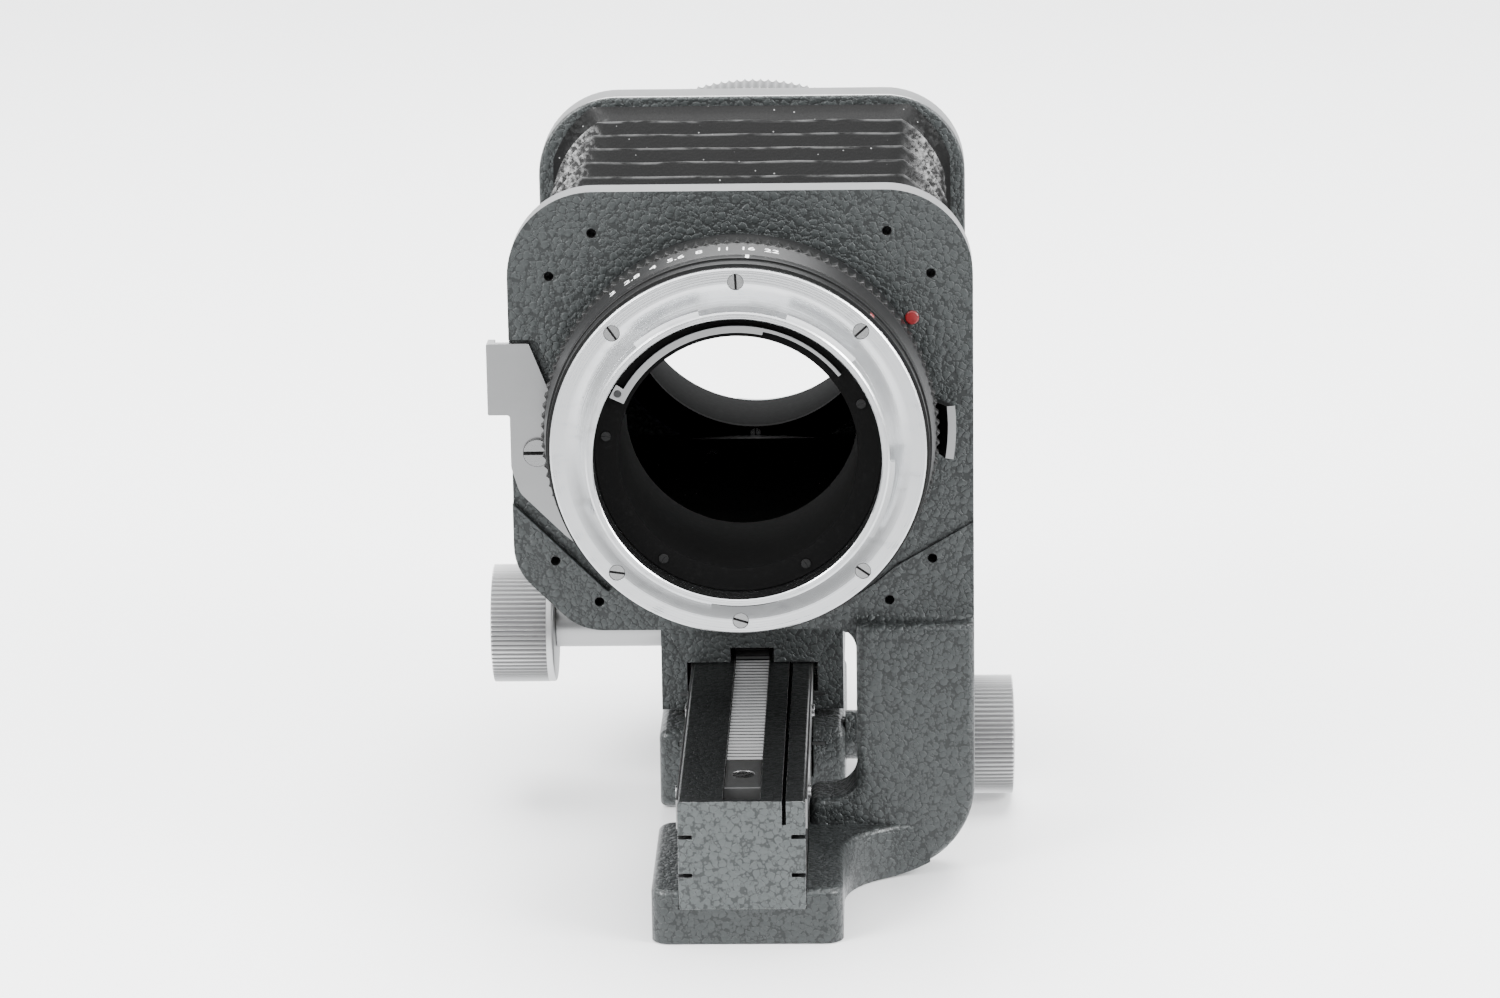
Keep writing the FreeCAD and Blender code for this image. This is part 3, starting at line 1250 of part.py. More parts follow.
def lens_mount_ring():
    """The knurled ring that turns the lens mount, with its spigot in the plate and its barrel."""
    front = REAR_BACK + MOUNT_RING_GAP
    back = front + MOUNT_RING_WIDTH
    end = back + LENS_BARREL_LENGTH
    outer, inner = mount_spigot()
    pocket = SPIGOT_RADIUS + LUG_HEIGHT + 1.0
    edge = MOUNT_RING_RADIUS - 1.1
    body = turned([
        (REAR_FACE + RETAINER_DEPTH, inner),
        (REAR_FACE + RETAINER_DEPTH, outer),
        (front, outer),
        (front, edge - 0.6),
        (front + 0.6, edge),
        (back - 0.6, edge),
        (back, edge - 0.6),
        (back, LENS_BARREL_RADIUS),
        (end, LENS_BARREL_RADIUS),
        (end, pocket),
        (end - 6.0, pocket),
        (end - 6.0, inner),
    ])
    start = front + (MOUNT_RING_WIDTH - MOUNT_RING_GRIP) / 2
    rim = ridged_disc(MOUNT_RING_RADIUS, MOUNT_RING_TOOTH_DEPTH, MOUNT_RING_TEETH, MOUNT_RING_GRIP)
    rim.rotate(Vector(0, 0, 0), Vector(1, 0, 0), -90)
    rim.translate(Vector(0, start, AXIS_HEIGHT))
    core = rod(edge - 1.0, on_axis(0, 0, start - 1), on_axis(0, 0, start + MOUNT_RING_GRIP + 1))
    cutters = [axis_pin(0.85, FLANGE_SCREW_CIRCLE, a, end - 4, end + 1) for a in FLANGE_SCREW_ANGLES]
    for angle in RETAINER_SCREW_ANGLES:
        cutters.append(axis_pin(0.55, (outer + inner) / 2, angle, REAR_FACE, REAR_FACE + RETAINER_DEPTH + 3))
    return body.fuse(rim.cut(core)).cut(cutters)


def mount_retainer():
    """The ring on the spigot's end that keeps the lens mount in the plate."""
    outer, inner = mount_spigot()
    ring = tube(inner, RETAINER_RADIUS, REAR_FACE + 0.1, REAR_FACE + RETAINER_DEPTH)
    holes = []
    for angle in RETAINER_SCREW_ANGLES:
        orbit = (outer + inner) / 2
        holes.append(axis_pin(0.55, orbit, angle, REAR_FACE - 1, REAR_FACE + RETAINER_DEPTH + 1))
        holes.append(axis_pin(1.05, orbit, angle, REAR_FACE - 1, REAR_FACE + 0.7))
    return ring.cut(holes)


def retainer_screws():
    """The retainer's three small screws."""
    orbit = sum(mount_spigot()) / 2
    return group(slotted_screw(1.0, 0.5, 0.5, 4.2, 0.2, on_axis(orbit, a, REAR_FACE + 0.2), (0, -1, 0), a)
                 for a in RETAINER_SCREW_ANGLES)


def lens_bayonet_span():
    """The lens bayonet's seat and outer face along Y."""
    seat = REAR_BACK + MOUNT_RING_GAP + MOUNT_RING_WIDTH + LENS_BARREL_LENGTH
    return seat, seat + FLANGE_THICKNESS


def lens_bayonet():
    """The female bayonet: a flange with a collar behind it and four lugs into its bore."""
    seat, face = lens_bayonet_span()
    start = face - LENS_BAYONET_DEPTH
    bore = SPIGOT_RADIUS + LUG_HEIGHT + LUG_CLEARANCE
    body = turned([
        (start, bore),
        (start, bore + 0.9),
        (seat, bore + 0.9),
        (seat, FLANGE_RADIUS),
        (face - 0.25, FLANGE_RADIUS),
        (face, FLANGE_RADIUS - 0.25),
        (face, bore),
    ])
    half = LENS_LUG_WIDTH / 2
    lugs = [sector(SPIGOT_RADIUS + LUG_CLEARANCE, bore + 0.4, a - half, a + half, face - LUG_THICKNESS, face)
            for a in LENS_LUG_CENTRES]
    cutters = []
    for angle in FLANGE_SCREW_ANGLES:
        cutters.append(axis_pin(0.85, FLANGE_SCREW_CIRCLE, angle, start - 1, face + 1))
        cutters.append(axis_pin(1.4, FLANGE_SCREW_CIRCLE, angle, face - 0.8, face + 1))
    return body.fuse(lugs).cut(cutters)


def lens_bayonet_screws():
    """Six slotted screws in the lens flange."""
    face = lens_bayonet_span()[1]
    return group(slotted_screw(1.35, 0.7, 0.8, 4.6, 0.3, on_axis(FLANGE_SCREW_CIRCLE, a, face - 0.05), (0, 1, 0), a)
                 for a in FLANGE_SCREW_ANGLES)


# Tripod carriage
def lower_key_spans():
    """The tripod carriage's keys: one on the left, and two on the right beside the clamp."""
    room = 5.0
    return [
        (-1, TRIPOD_FRONT, TRIPOD_BACK),
        (1, TRIPOD_FRONT, CLAMP_Y - room),
        (1, CLAMP_Y + room, TRIPOD_BACK),
    ]


def tripod_carriage():
    """The U-shaped carriage under the rail that stands on the tripod."""
    half = TRIPOD_CARRIAGE_HALF_WIDTH
    section = front_slab([
        (-half, 0, 1.0),
        (half, 0, 1.0),
        (half, TRIPOD_CHEEK_TOP, 1.5),
        (-half, TRIPOD_CHEEK_TOP, 1.5),
    ], TRIPOD_FRONT, TRIPOD_BACK)
    section = softened(section, 1.5, lambda e: e.BoundBox.YLength < 0.01 and e.BoundBox.XLength < 0.01)
    side = RAIL_SIDE + SLIDE_GAP
    cutters = [block((-side, side), (TRIPOD_FRONT - 1, TRIPOD_BACK + 1), (RAIL_LIFT - SLIDE_GAP, RAIL_TOP))]
    cutters += key_slots(lower_key_spans(), LOWER_GROOVE)
    cutters.append(rod(CLAMP_SPIGOT_RADIUS, (side - 1, CLAMP_Y, CLAMP_HEIGHT), (half + 1, CLAMP_Y, CLAMP_HEIGHT)))
    cutters.append(rod(TRIPOD_BUSH_RADIUS, (0, 0, -1), (0, 0, RAIL_LIFT)))
    return section.cut(cutters)


def tripod_bush():
    """The steel bush with the tripod thread, pressed into the carriage's floor."""
    height = RAIL_LIFT - SLIDE_GAP - 0.3
    bush = rod(TRIPOD_BUSH_RADIUS - 0.02, (0, 0, 0), (0, 0, height))
    return bush.cut(rod(TRIPOD_THREAD_RADIUS, (0, 0, -1), (0, 0, height + 1)))


def clamp_sleeve():
    """The sleeve that carries the clamp screw out past the arm."""
    half = TRIPOD_CARRIAGE_HALF_WIDTH
    inner = RAIL_SIDE + SLIDE_GAP + 1.6
    outer = rod(SLEEVE_RADIUS, (half, CLAMP_Y, CLAMP_HEIGHT), (KNOB_INNER_FACE, CLAMP_Y, CLAMP_HEIGHT))
    spigot = rod(CLAMP_SPIGOT_RADIUS - 0.02, (inner, CLAMP_Y, CLAMP_HEIGHT), (half, CLAMP_Y, CLAMP_HEIGHT))
    bore = rod(CLAMP_SHAFT_RADIUS + RUNNING_GAP, (inner - 1, CLAMP_Y, CLAMP_HEIGHT),
               (KNOB_INNER_FACE + 1, CLAMP_Y, CLAMP_HEIGHT))
    return outer.fuse(spigot).cut(bore)


def clamp_shaft():
    """The clamp screw, plain here where its thread runs."""
    start = RAIL_SIDE + 1.0
    outer = KNOB_INNER_FACE + KNOB_COLLAR_LENGTH + KNOB_GRIP_LENGTH - 3.0
    return rod(CLAMP_SHAFT_RADIUS, (start, CLAMP_Y, CLAMP_HEIGHT), (outer, CLAMP_Y, CLAMP_HEIGHT))


def clamp_pad():
    """The soft pad that the clamp screw presses on the rail."""
    return rod(CLAMP_SPIGOT_RADIUS - 0.1, (RAIL_SIDE, CLAMP_Y, CLAMP_HEIGHT), (RAIL_SIDE + 1.0, CLAMP_Y, CLAMP_HEIGHT))


# Assembly
def pieces():
    """Every node's name and shape."""
    start, end = bellows_span()
    return {
        "camera_standard": camera_standard(),
        "release_lever": release_lever(),
        "lever_pivot_screw": lever_pivot_screw(),
        "alignment_dot": alignment_dot(),
        "rail": rail(),
        "rack": rack(),
        "rack_screws": rack_screws(),
        "scale_strip_left": scale_strip(-1),
        "scale_strip_right": scale_strip(1),
        "strip_screws": strip_screws(),
        "foot_screws": foot_screws(),
        "rail_stop_plate": rail_stop_plate(),
        "stop_plate_screws": stop_plate_screws(),
        "mount_barrel": mount_barrel(),
        "camera_bayonet": camera_bayonet(),
        "camera_bayonet_screws": camera_bayonet_screws(),
        "index_ring": index_ring(),
        "aperture_ring": aperture_ring(),
        "aperture_key": aperture_key(),
        "diaphragm_drive_pin": diaphragm_drive_pin(),
        "diaphragm_drive_ring": diaphragm_drive_ring(),
        "light_baffle": light_baffle(),
        "baffle_screws": baffle_screws(),
        "barrel_screws": barrel_screws(),
        "release_tab_ring": release_tab_ring(),
        "bellows": bellows(),
        "bellows_front_frame": bellows_frame(FRONT_BACK, start),
        "bellows_rear_frame": bellows_frame(end, REAR_FACE),
        "front_frame_screws": frame_screws(start, 1),
        "rear_frame_screws": frame_screws(end, -1),
        "lens_standard": lens_standard(),
        "upper_guide_keys": guide_keys(upper_key_spans(), UPPER_GROOVE),
        "shaft_sleeve": shaft_sleeve(),
        "shaft_bush": shaft_bush(),
        "pinion": pinion(),
        "drive_shaft": drive_shaft(),
        "focus_knob": focus_knob(),
        "lens_mount_ring": lens_mount_ring(),
        "mount_retainer": mount_retainer(),
        "retainer_screws": retainer_screws(),
        "lens_bayonet": lens_bayonet(),
        "lens_bayonet_screws": lens_bayonet_screws(),
        "tripod_carriage": tripod_carriage(),
        "lower_guide_keys": guide_keys(lower_key_spans(), LOWER_GROOVE),
        "tripod_bush": tripod_bush(),
        "clamp_sleeve": clamp_sleeve(),
        "clamp_shaft": clamp_shaft(),
        "clamp_knob": clamp_knob(),
        "clamp_pad": clamp_pad(),
    }


def main():
    """Write one STEP file for each piece."""
    os.makedirs("parts", exist_ok=True)
    for name, shape in pieces().items():
        shape.exportStep(os.path.join("parts", name + ".step"))
        box = shape.BoundBox
        print(name, len(shape.Solids), shape.isValid(), round(shape.Volume, 1),
              [round(v, 1) for v in (box.XMin, box.XMax, box.YMin, box.YMax, box.ZMin, box.ZMax)])


main()
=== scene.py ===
# %% [markdown]
# A macro bellows unit
#
# The CAD model holds every piece at its real size and place. This lesson gives the pieces their
# finish: hammered paint on the castings, bare metal on their rims, bright turned rings, black
# anodised rings with white figures, and a folded leathercloth bellows.

import json
import math

import bmesh
import bpy
import numpy as np
from mathutils import Matrix, Vector


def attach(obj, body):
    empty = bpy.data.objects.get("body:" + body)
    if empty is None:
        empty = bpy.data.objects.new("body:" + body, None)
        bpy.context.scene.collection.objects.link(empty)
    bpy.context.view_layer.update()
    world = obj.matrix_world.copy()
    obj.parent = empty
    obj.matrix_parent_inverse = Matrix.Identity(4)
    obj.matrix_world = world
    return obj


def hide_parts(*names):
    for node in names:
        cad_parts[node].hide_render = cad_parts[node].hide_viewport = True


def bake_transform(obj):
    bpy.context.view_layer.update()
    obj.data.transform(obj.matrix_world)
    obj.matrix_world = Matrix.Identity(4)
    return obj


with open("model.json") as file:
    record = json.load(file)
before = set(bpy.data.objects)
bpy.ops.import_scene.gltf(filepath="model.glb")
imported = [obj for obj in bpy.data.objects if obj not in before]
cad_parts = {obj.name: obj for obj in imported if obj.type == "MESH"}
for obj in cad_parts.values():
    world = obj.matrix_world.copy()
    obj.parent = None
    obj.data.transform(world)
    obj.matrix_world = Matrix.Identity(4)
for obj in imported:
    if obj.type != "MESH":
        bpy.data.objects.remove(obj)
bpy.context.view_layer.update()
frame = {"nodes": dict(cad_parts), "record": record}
nodes = frame["nodes"]
body_of_node = {n: b for b, names in frame["record"]["behaviour"]["bodies"].items() for n in names}

# %% [markdown]
# Millimetres are easier to think in than metres, so the lesson names a millimetre once. The
# optical axis is the line that nearly everything here turns about.

# %% Units and the optical axis
MM = 0.001
AXIS_HEIGHT = 82.4
NEAR_FACE = -56.0
FAR_BACK = 37.0
FLANGE = NEAR_FACE - 23.6
SHAFT_PLACE = (-8.0, 31.16)
CLAMP_PLACE = (-15.2, 11.4)
print("the optical axis is", AXIS_HEIGHT, "mm above the base")

# %% [markdown]
# The camera comes first. Its place and tilt were worked out from the plates' edges and the
# flange's ellipse, so the render can be laid beside the photograph.

# %% Camera
FOCAL_LENGTH = 121.7
CAMERA_PLACE = Vector((25.57, -903.37, 302.57))
camera_data = bpy.data.cameras.new("camera")
camera_data.sensor_width = 36.0
camera_data.lens = FOCAL_LENGTH
camera_data.clip_start = 0.05
camera = bpy.data.objects.new("camera", camera_data)
pitch, yaw, roll = 0.27017, -0.028735, 0.015207
forward = Vector((math.sin(yaw) * math.cos(pitch), math.cos(yaw) * math.cos(pitch), -math.sin(pitch)))
level = Vector((math.cos(yaw), -math.sin(yaw), 0))
down = forward.cross(level)
right = level * math.cos(roll) + down * math.sin(roll)
up = level * math.sin(roll) - down * math.cos(roll)
turn = Matrix((right, up, -forward)).transposed()
camera.matrix_world = Matrix.Translation(CAMERA_PLACE * MM) @ turn.to_4x4()
bpy.context.scene.collection.objects.link(camera)
bpy.context.scene.camera = camera
print("camera", [round(v, 3) for v in camera.location])


# %% [markdown]
# A material is a small graph of nodes. Wiring it by hand is long-winded, so one small class wraps
# an output socket and lets it be used in ordinary arithmetic; each operator adds one Math node.

# %% A socket that does arithmetic
class Sock:
    """An output socket that adds Math nodes when it is used in sums."""

    def __init__(self, tree, socket):
        self.tree = tree
        self.socket = socket

    def math(self, operation, *others):
        """A Math node of this operation on this socket and the others."""
        return add(self.tree, "ShaderNodeMath", {"operation": operation}, [self, *others])

    def __add__(self, other):
        return self.math("ADD", other)

    __radd__ = __add__

    def __mul__(self, other):
        return self.math("MULTIPLY", other)

    __rmul__ = __mul__

    def __sub__(self, other):
        return self.math("SUBTRACT", other)

    def __rsub__(self, other):
        return add(self.tree, "ShaderNodeMath", {"operation": "SUBTRACT"}, [other, self])

    def __truediv__(self, other):
        return self.math("DIVIDE", other)

    def above(self, low, high):
        """0 below low and 1 above high, with a smooth rise between."""
        return add(self.tree, "ShaderNodeMapRange", {"interpolation_type": "SMOOTHSTEP"}, [
            self, low, high, 0.0, 1.0])

    def clip(self):
        """The value kept between 0 and 1."""
        return add(self.tree, "ShaderNodeClamp", {}, [self, 0.0, 1.0])


def add(tree, kind, settings, values, output=0):
    """A node of this kind: its settings first, then a value or a link for each input."""
    node = tree.nodes.new(kind)
    for key, value in settings.items():
        setattr(node, key, value)
    pairs = values.items() if isinstance(values, dict) else enumerate(values)
    for key, value in pairs:
        if isinstance(value, Sock):
            tree.links.new(value.socket, node.inputs[key])
        elif value is not None:
            node.inputs[key].default_value = value
    return Sock(tree, node.outputs[output])


class Finish:
    """A material with a Principled shader and the helpers that its pattern needs."""

    def __init__(self, name, **constants):
        self.material = bpy.data.materials.new(name)
        self.material.use_nodes = True
        self.tree = self.material.node_tree
        self.shader = self.tree.nodes["Principled BSDF"]
        for key, value in constants.items():
            self.set(key.replace("_", " "), value)

    def set(self, key, value):
        """A constant or a link on the shader's own socket."""
        if isinstance(value, Sock):
            self.tree.links.new(value.socket, self.shader.inputs[key])
        else:
            self.shader.inputs[key].default_value = value

    def place(self, stretch=(1, 1, 1)):
        """Object coordinates in millimetres, stretched along the axes."""
        here = add(self.tree, "ShaderNodeTexCoord", {}, [], "Object")
        scale = tuple(1000 * s for s in stretch)
        return add(self.tree, "ShaderNodeMapping", {}, {"Vector": here, "Scale": scale})

    def noise(self, where, scale, detail=3.0, roughness=0.5):
        """Noise between 0 and 1 whose features are about 1 / scale millimetres wide."""
        return add(self.tree, "ShaderNodeTexNoise", {}, {
            "Vector": where, "Scale": scale, "Detail": detail, "Roughness": roughness})

    def cells(self, where, scale, feature, randomness=1.0, output="Distance"):
        """Voronoi cells; DISTANCE_TO_EDGE gives the veins between them."""
        return add(self.tree, "ShaderNodeTexVoronoi", {"feature": feature}, {
            "Vector": where, "Scale": scale, "Randomness": randomness}, output)

    def attribute(self, name):
        """A value that comes with the mesh, 0 where the mesh has none."""
        return add(self.tree, "ShaderNodeAttribute", {"attribute_name": name}, [], "Fac")

    def blend(self, factor, a, b):
        """A colour between a and b."""
        return add(self.tree, "ShaderNodeMix", {"data_type": "RGBA"}, {0: factor, 6: a, 7: b}, 2)

    def bump(self, height, depth, strength=1.0, after=None):
        """A normal from a height; depth is the relief in millimetres."""
        return add(self.tree, "ShaderNodeBump", {}, {
            "Strength": strength, "Distance": depth * MM, "Height": height, "Normal": after})


def grey(value, blue=0.0):
    """A grey colour, a little blue where asked."""
    return (value * (1 - blue), value, value * (1 + blue), 1.0)


def teal_grey(value):
    """The paint's grey, a little green and blue."""
    return (value * 0.90, value, value, 1.0)


# %% [markdown]
# Hammered paint is a metallic enamel that draws together into bubbles as it dries. They are round,
# one to two millimetres wide, with a thin dark crease round each and smaller ones in the gaps. So
# there are two layers of Voronoi cells: the distance to the nearest point, cut off at a radius,
# gives the large bubbles, and a finer layer fills the rest. Noise on the coordinates bends them.
# The creases' darker colour is partly the paint's own veins and partly painted shade.

# %% Hammered paint
def bubbles(paint, where, scale):
    """Round domes about 1 / scale mm apart: their height, and a mask that is 0 in the creases."""
    near = paint.cells(where, scale, "F1")
    border = paint.cells(where, scale, "DISTANCE_TO_EDGE")
    mask = (1 - near.above(0.46, 0.58)) * border.above(0.015, 0.085)
    return (1 - near * near * 2.2).clip() * mask, mask


def hammered(name, crease, tone, relief=0.16):
    """Hammered enamel; crease and tone are the lightness of its creases and its bubbles."""
    paint = Finish(name, Metallic=0.5, Coat_Weight=0.25, Coat_Roughness=0.22)
    where = paint.place()
    bend = add(paint.tree, "ShaderNodeTexNoise", {}, {"Vector": where, "Scale": 1.3, "Detail": 2.0}, "Color")
    bend = add(paint.tree, "ShaderNodeVectorMath", {"operation": "SUBTRACT"}, [bend, (0.5, 0.5, 0.5)])
    bend = add(paint.tree, "ShaderNodeVectorMath", {"operation": "SCALE"}, {0: bend, "Scale": 0.7})
    bent = add(paint.tree, "ShaderNodeVectorMath", {"operation": "ADD"}, [where, bend])
    large, large_mask = bubbles(paint, bent, 0.74)
    small, small_mask = bubbles(paint, bent, 1.5)
    height = large + small * (1 - large_mask) * 0.6
    mask = (large_mask + small_mask * (1 - large_mask) * 0.9).clip()
    fine = paint.noise(where, 3.0, 4.0)
    patch = paint.noise(where, 0.30, 2.0)
    # The creases take the darker colour: partly the paint's own veins, partly painted shade.
    light = (mask * 0.85 + fine * 0.25 + patch * 0.25 - 0.22).clip()
    paint.set("Base Color", paint.blend(light, teal_grey(crease), teal_grey(tone)))
    paint.set("Roughness", 0.46 - mask * 0.10 + fine * 0.10)
    paint.set("Normal", paint.bump(height + fine * 0.08, relief))
    return paint.material


casting_paint = hammered("hammered_paint", 0.020, 0.046)
# One rail paint in two copies: lighter for the ends as painted light, much darker for the long faces as
# painted shade.
rail_paint_lit_copy = hammered("hammered_paint_rail", 0.034, 0.085)
rail_paint_shaded_copy = hammered("hammered_paint_rail_shaded_copy", 0.004, 0.012, 0.06)
print("paints:", casting_paint.name, rail_paint_lit_copy.name, rail_paint_shaded_copy.name)

# %% [markdown]
# The castings' rims were milled after painting. The cutter left fine lines along the edge, and
# the metal has dulled since. Noise stretched along the edge gives the lines. Knurled pieces carry
# an attribute that is 1 in their grooves, and there the colour is darker.

# %% Bare metals
def drawn_metal(name, tone, rough, stretch, marks=0.25, groove_darkening=0.0):
    """Metal with fine lines; a small factor in stretch makes the lines long along that axis."""
    metal = Finish(name, Metallic=1.0)
    lines = metal.noise(metal.place(stretch), 3.0, 3.0)
    stains = metal.noise(metal.place(), 0.25, 3.0)
    shade = (lines * 0.5 + stains * 0.5).clip()
    colour = metal.blend(shade, grey(tone * (1 - marks)), grey(tone))
    if groove_darkening:
        # Darker colour in the grooves.
        groove = metal.attribute("groove")
        colour = metal.blend((groove * groove_darkening).clip(), colour, grey(tone * 0.16))
    metal.set("Base Color", colour)
    metal.set("Roughness", rough + lines * 0.12 - 0.06 + stains * 0.06)
    metal.set("Normal", metal.bump(lines, 0.006, 0.5))
    return metal.material


rim_metal = drawn_metal("milled_rim", 0.26, 0.34, (0.08, 4, 0.08), marks=0.4)
satin_metal = drawn_metal("satin_metal", 0.42, 0.30, (1, 1, 1), marks=0.15)
knob_metal = drawn_metal("satin_aluminium", 0.62, 0.38, (1, 3, 3), marks=0.08, groove_darkening=0.85)
ring_metal = drawn_metal("satin_ring", 0.34, 0.34, (3, 1, 3), marks=0.2, groove_darkening=0.95)
rack_steel = drawn_metal("rack_steel", 0.40, 0.34, (2, 0.3, 2))
dark_steel = drawn_metal("dark_steel", 0.08, 0.30, (0.3, 2, 2))
screw_steel = drawn_metal("screw_steel", 0.42, 0.24, (1, 1, 1), marks=0.2)
brass_metal = Finish("brass", Metallic=1.0)
tarnish = brass_metal.noise(brass_metal.place(), 0.6, 4.0)
brass_metal.set("Base Color", brass_metal.blend(tarnish, (0.30, 0.20, 0.08, 1), (0.6, 0.42, 0.18, 1)))
brass_metal.set("Roughness", 0.28 + tarnish * 0.2)
print("metals:", rim_metal.name, satin_metal.name, knob_metal.name, rack_steel.name)

# %% [markdown]
# Screws are dark in their slots and round their heads: painted shade for the slots' depth and the
# gaps round the heads. That line draws the screw, because a bright head on a bright flange would
# hardly be seen. So the painted shade is a finish of its own, almost black and matt.

# %% Painted shade in slots and round screws
# A near-black matt finish: painted shade in the slots and in the gaps round the screw heads.
slot_shade = Finish("slot_shade", Specular_IOR_Level=0.2)
shade_mottle = slot_shade.noise(slot_shade.place(), 3.0, 4.0)
slot_shade.set("Base Color", slot_shade.blend(shade_mottle, grey(0.002), grey(0.02)))
slot_shade.set("Roughness", 0.6 + shade_mottle * 0.3)
slot_shade_finish = slot_shade.material
print("grime:", slot_shade_finish.name)

# %% [markdown]
# Paint wears first where hands and saddles touch it, on the edges. There the metal shows through in
# patches. Noise cut off near its middle makes such patches: above the cut it is bare metal, below it
# is dark old paint. The finish is only used on the narrow bevels of the castings and the rail.

# %% Worn edges
worn = Finish("worn_paint_edge")
bare = worn.noise(worn.place(), 0.9, 5.0, 0.65).above(0.44, 0.56)
worn.set("Base Color", worn.blend(bare, grey(0.02), grey(0.70)))
worn.set("Metallic", bare * 0.8 + 0.2)
worn.set("Roughness", 0.34 + worn.noise(worn.place(), 2.0) * 0.15)
worn_edge = worn.material
print("worn edge:", worn_edge.name)


# %% [markdown]
# The flange was turned on a lathe and plated. Turning lines run round the axis, so the pattern
# must too: the distance from the axis, with a little noise, is the coordinate of the lines. Darker
# patches and darker rings along the turning lines are painted shade for the plating's uneven
# reflection; the small pits are wear.

# %% Turned chrome and black anodising
def axis_distance(finish):
    """The distance from the optical axis, in metres."""
    here = add(finish.tree, "ShaderNodeTexCoord", {}, [], "Object")
    flat = add(finish.tree, "ShaderNodeVectorMath", {"operation": "MULTIPLY_ADD"}, [
        here, (1, 0, 1), (0, 0, -AXIS_HEIGHT * MM)])
    return add(finish.tree, "ShaderNodeVectorMath", {"operation": "LENGTH"}, [flat], "Value")


def turned_lines(finish, spacing):
    """Fine rings about the optical axis: noise on the distance from it and the place along it."""
    here = add(finish.tree, "ShaderNodeTexCoord", {}, [], "Object")
    along = add(finish.tree, "ShaderNodeSeparateXYZ", {}, [here], "Y")
    away = axis_distance(finish)
    ring = add(finish.tree, "ShaderNodeCombineXYZ", {}, [away * 1000, along * 1000, 0.0])
    return add(finish.tree, "ShaderNodeTexNoise", {}, {"Vector": ring, "Scale": 1 / spacing, "Detail": 3.0})


SPIGOT_EDGE, DISH_EDGE = 25.4, 29.5


def chrome_finish():
    """Bright plating with turning lines, painted shade in patches and rings, and pits; its grain runs round
    the axis.
    """
    chrome = Finish("turned_chrome", Metallic=1.0, Anisotropic=0.6)
    lines = turned_lines(chrome, 0.22)
    broad = turned_lines(chrome, 2.2)
    reflection_shade = chrome.noise(chrome.place((0.5, 0.5, 1.0)), 0.35, 4.0)
    pits = chrome.noise(chrome.place(), 1.6, 2.0).above(0.74, 0.80)
    # Darker patches and darker rings in the colour are painted shade; the pits are wear.
    pits_and_painted_shade = (reflection_shade.above(0.5, 0.8) * 0.45 + pits * 0.6 + lines.above(0.55, 0.75) * 0.35).clip()
    chrome.set("Base Color", chrome.blend(pits_and_painted_shade, grey(0.82, 0.01), grey(0.40, 0.02)))
    chrome.set("Roughness", 0.10 + lines * 0.10 + broad * 0.14 + reflection_shade * 0.06)
    dish = axis_distance(chrome).above(SPIGOT_EDGE * MM, DISH_EDGE * MM)
    rings = chrome.bump(lines * 0.35 + broad * 0.65, 0.05, 0.8)
    chrome.set("Normal", chrome.bump(dish, 0.5, 1.0, rings))
    along_grain = {"direction_type": "UV_MAP", "uv_map": "grain"}
    chrome.set("Tangent", add(chrome.tree, "ShaderNodeTangent", along_grain, []))
    return chrome.material


def anodised_finish(name, tone, rough, shine):
    """Black anodised metal: faint turning lines, grey where dust has rubbed, and painted highlights on knurl
    ridges.
    """
    black = Finish(name, Specular_IOR_Level=shine)
    lines = turned_lines(black, 0.5)
    dust = black.noise(black.place(), 1.2, 5.0, 0.7)
    # The knurl's ridges get a lighter colour: a painted highlight.
    ridge_highlights = black.attribute("ridge") * dust.above(0.35, 0.6)
    wear_and_highlights = (dust.above(0.5, 0.9) * 0.5 + lines * 0.15 + ridge_highlights).clip()
    black.set("Base Color", black.blend(wear_and_highlights, grey(tone), grey(tone * 6)))
    black.set("Roughness", rough + dust * 0.2 + lines * 0.06)
    black.set("Normal", black.bump(dust * 0.6 + lines * 0.4, 0.01, 0.5))
    return black.material


turned_chrome = chrome_finish()
anodised_black = anodised_finish("anodised_black", 0.003, 0.24, 0.22)
matt_black = anodised_finish("matt_black", 0.0015, 0.62, 0.04)
print("turned finishes:", turned_chrome.name, anodised_black.name, matt_black.name)

# %% [markdown]
# The bellows is thin black leathercloth over card. Its faces are matt with a fine grain; its
# ridges are lighter in patches, partly wear and partly a painted highlight where they catch the light,
# and dust sits on them. The fold's place comes with the mesh, as an attribute that is 1 on a ridge,
# so the wear and the painted highlight follow the cloth when it stretches.

# %% Bellows cloth
cloth = Finish("bellows_cloth", Specular_IOR_Level=0.14)
grain = cloth.cells(cloth.place(), 2.4, "F1")
dust = cloth.cells(cloth.place(), 0.5, "F1")
speck = 1 - dust.above(0.03, 0.09)
fold = cloth.attribute("fold")
corner = cloth.attribute("corner")
patches = cloth.noise(cloth.place((0.3, 1, 1)), 0.9, 4.0).above(0.36, 0.66)
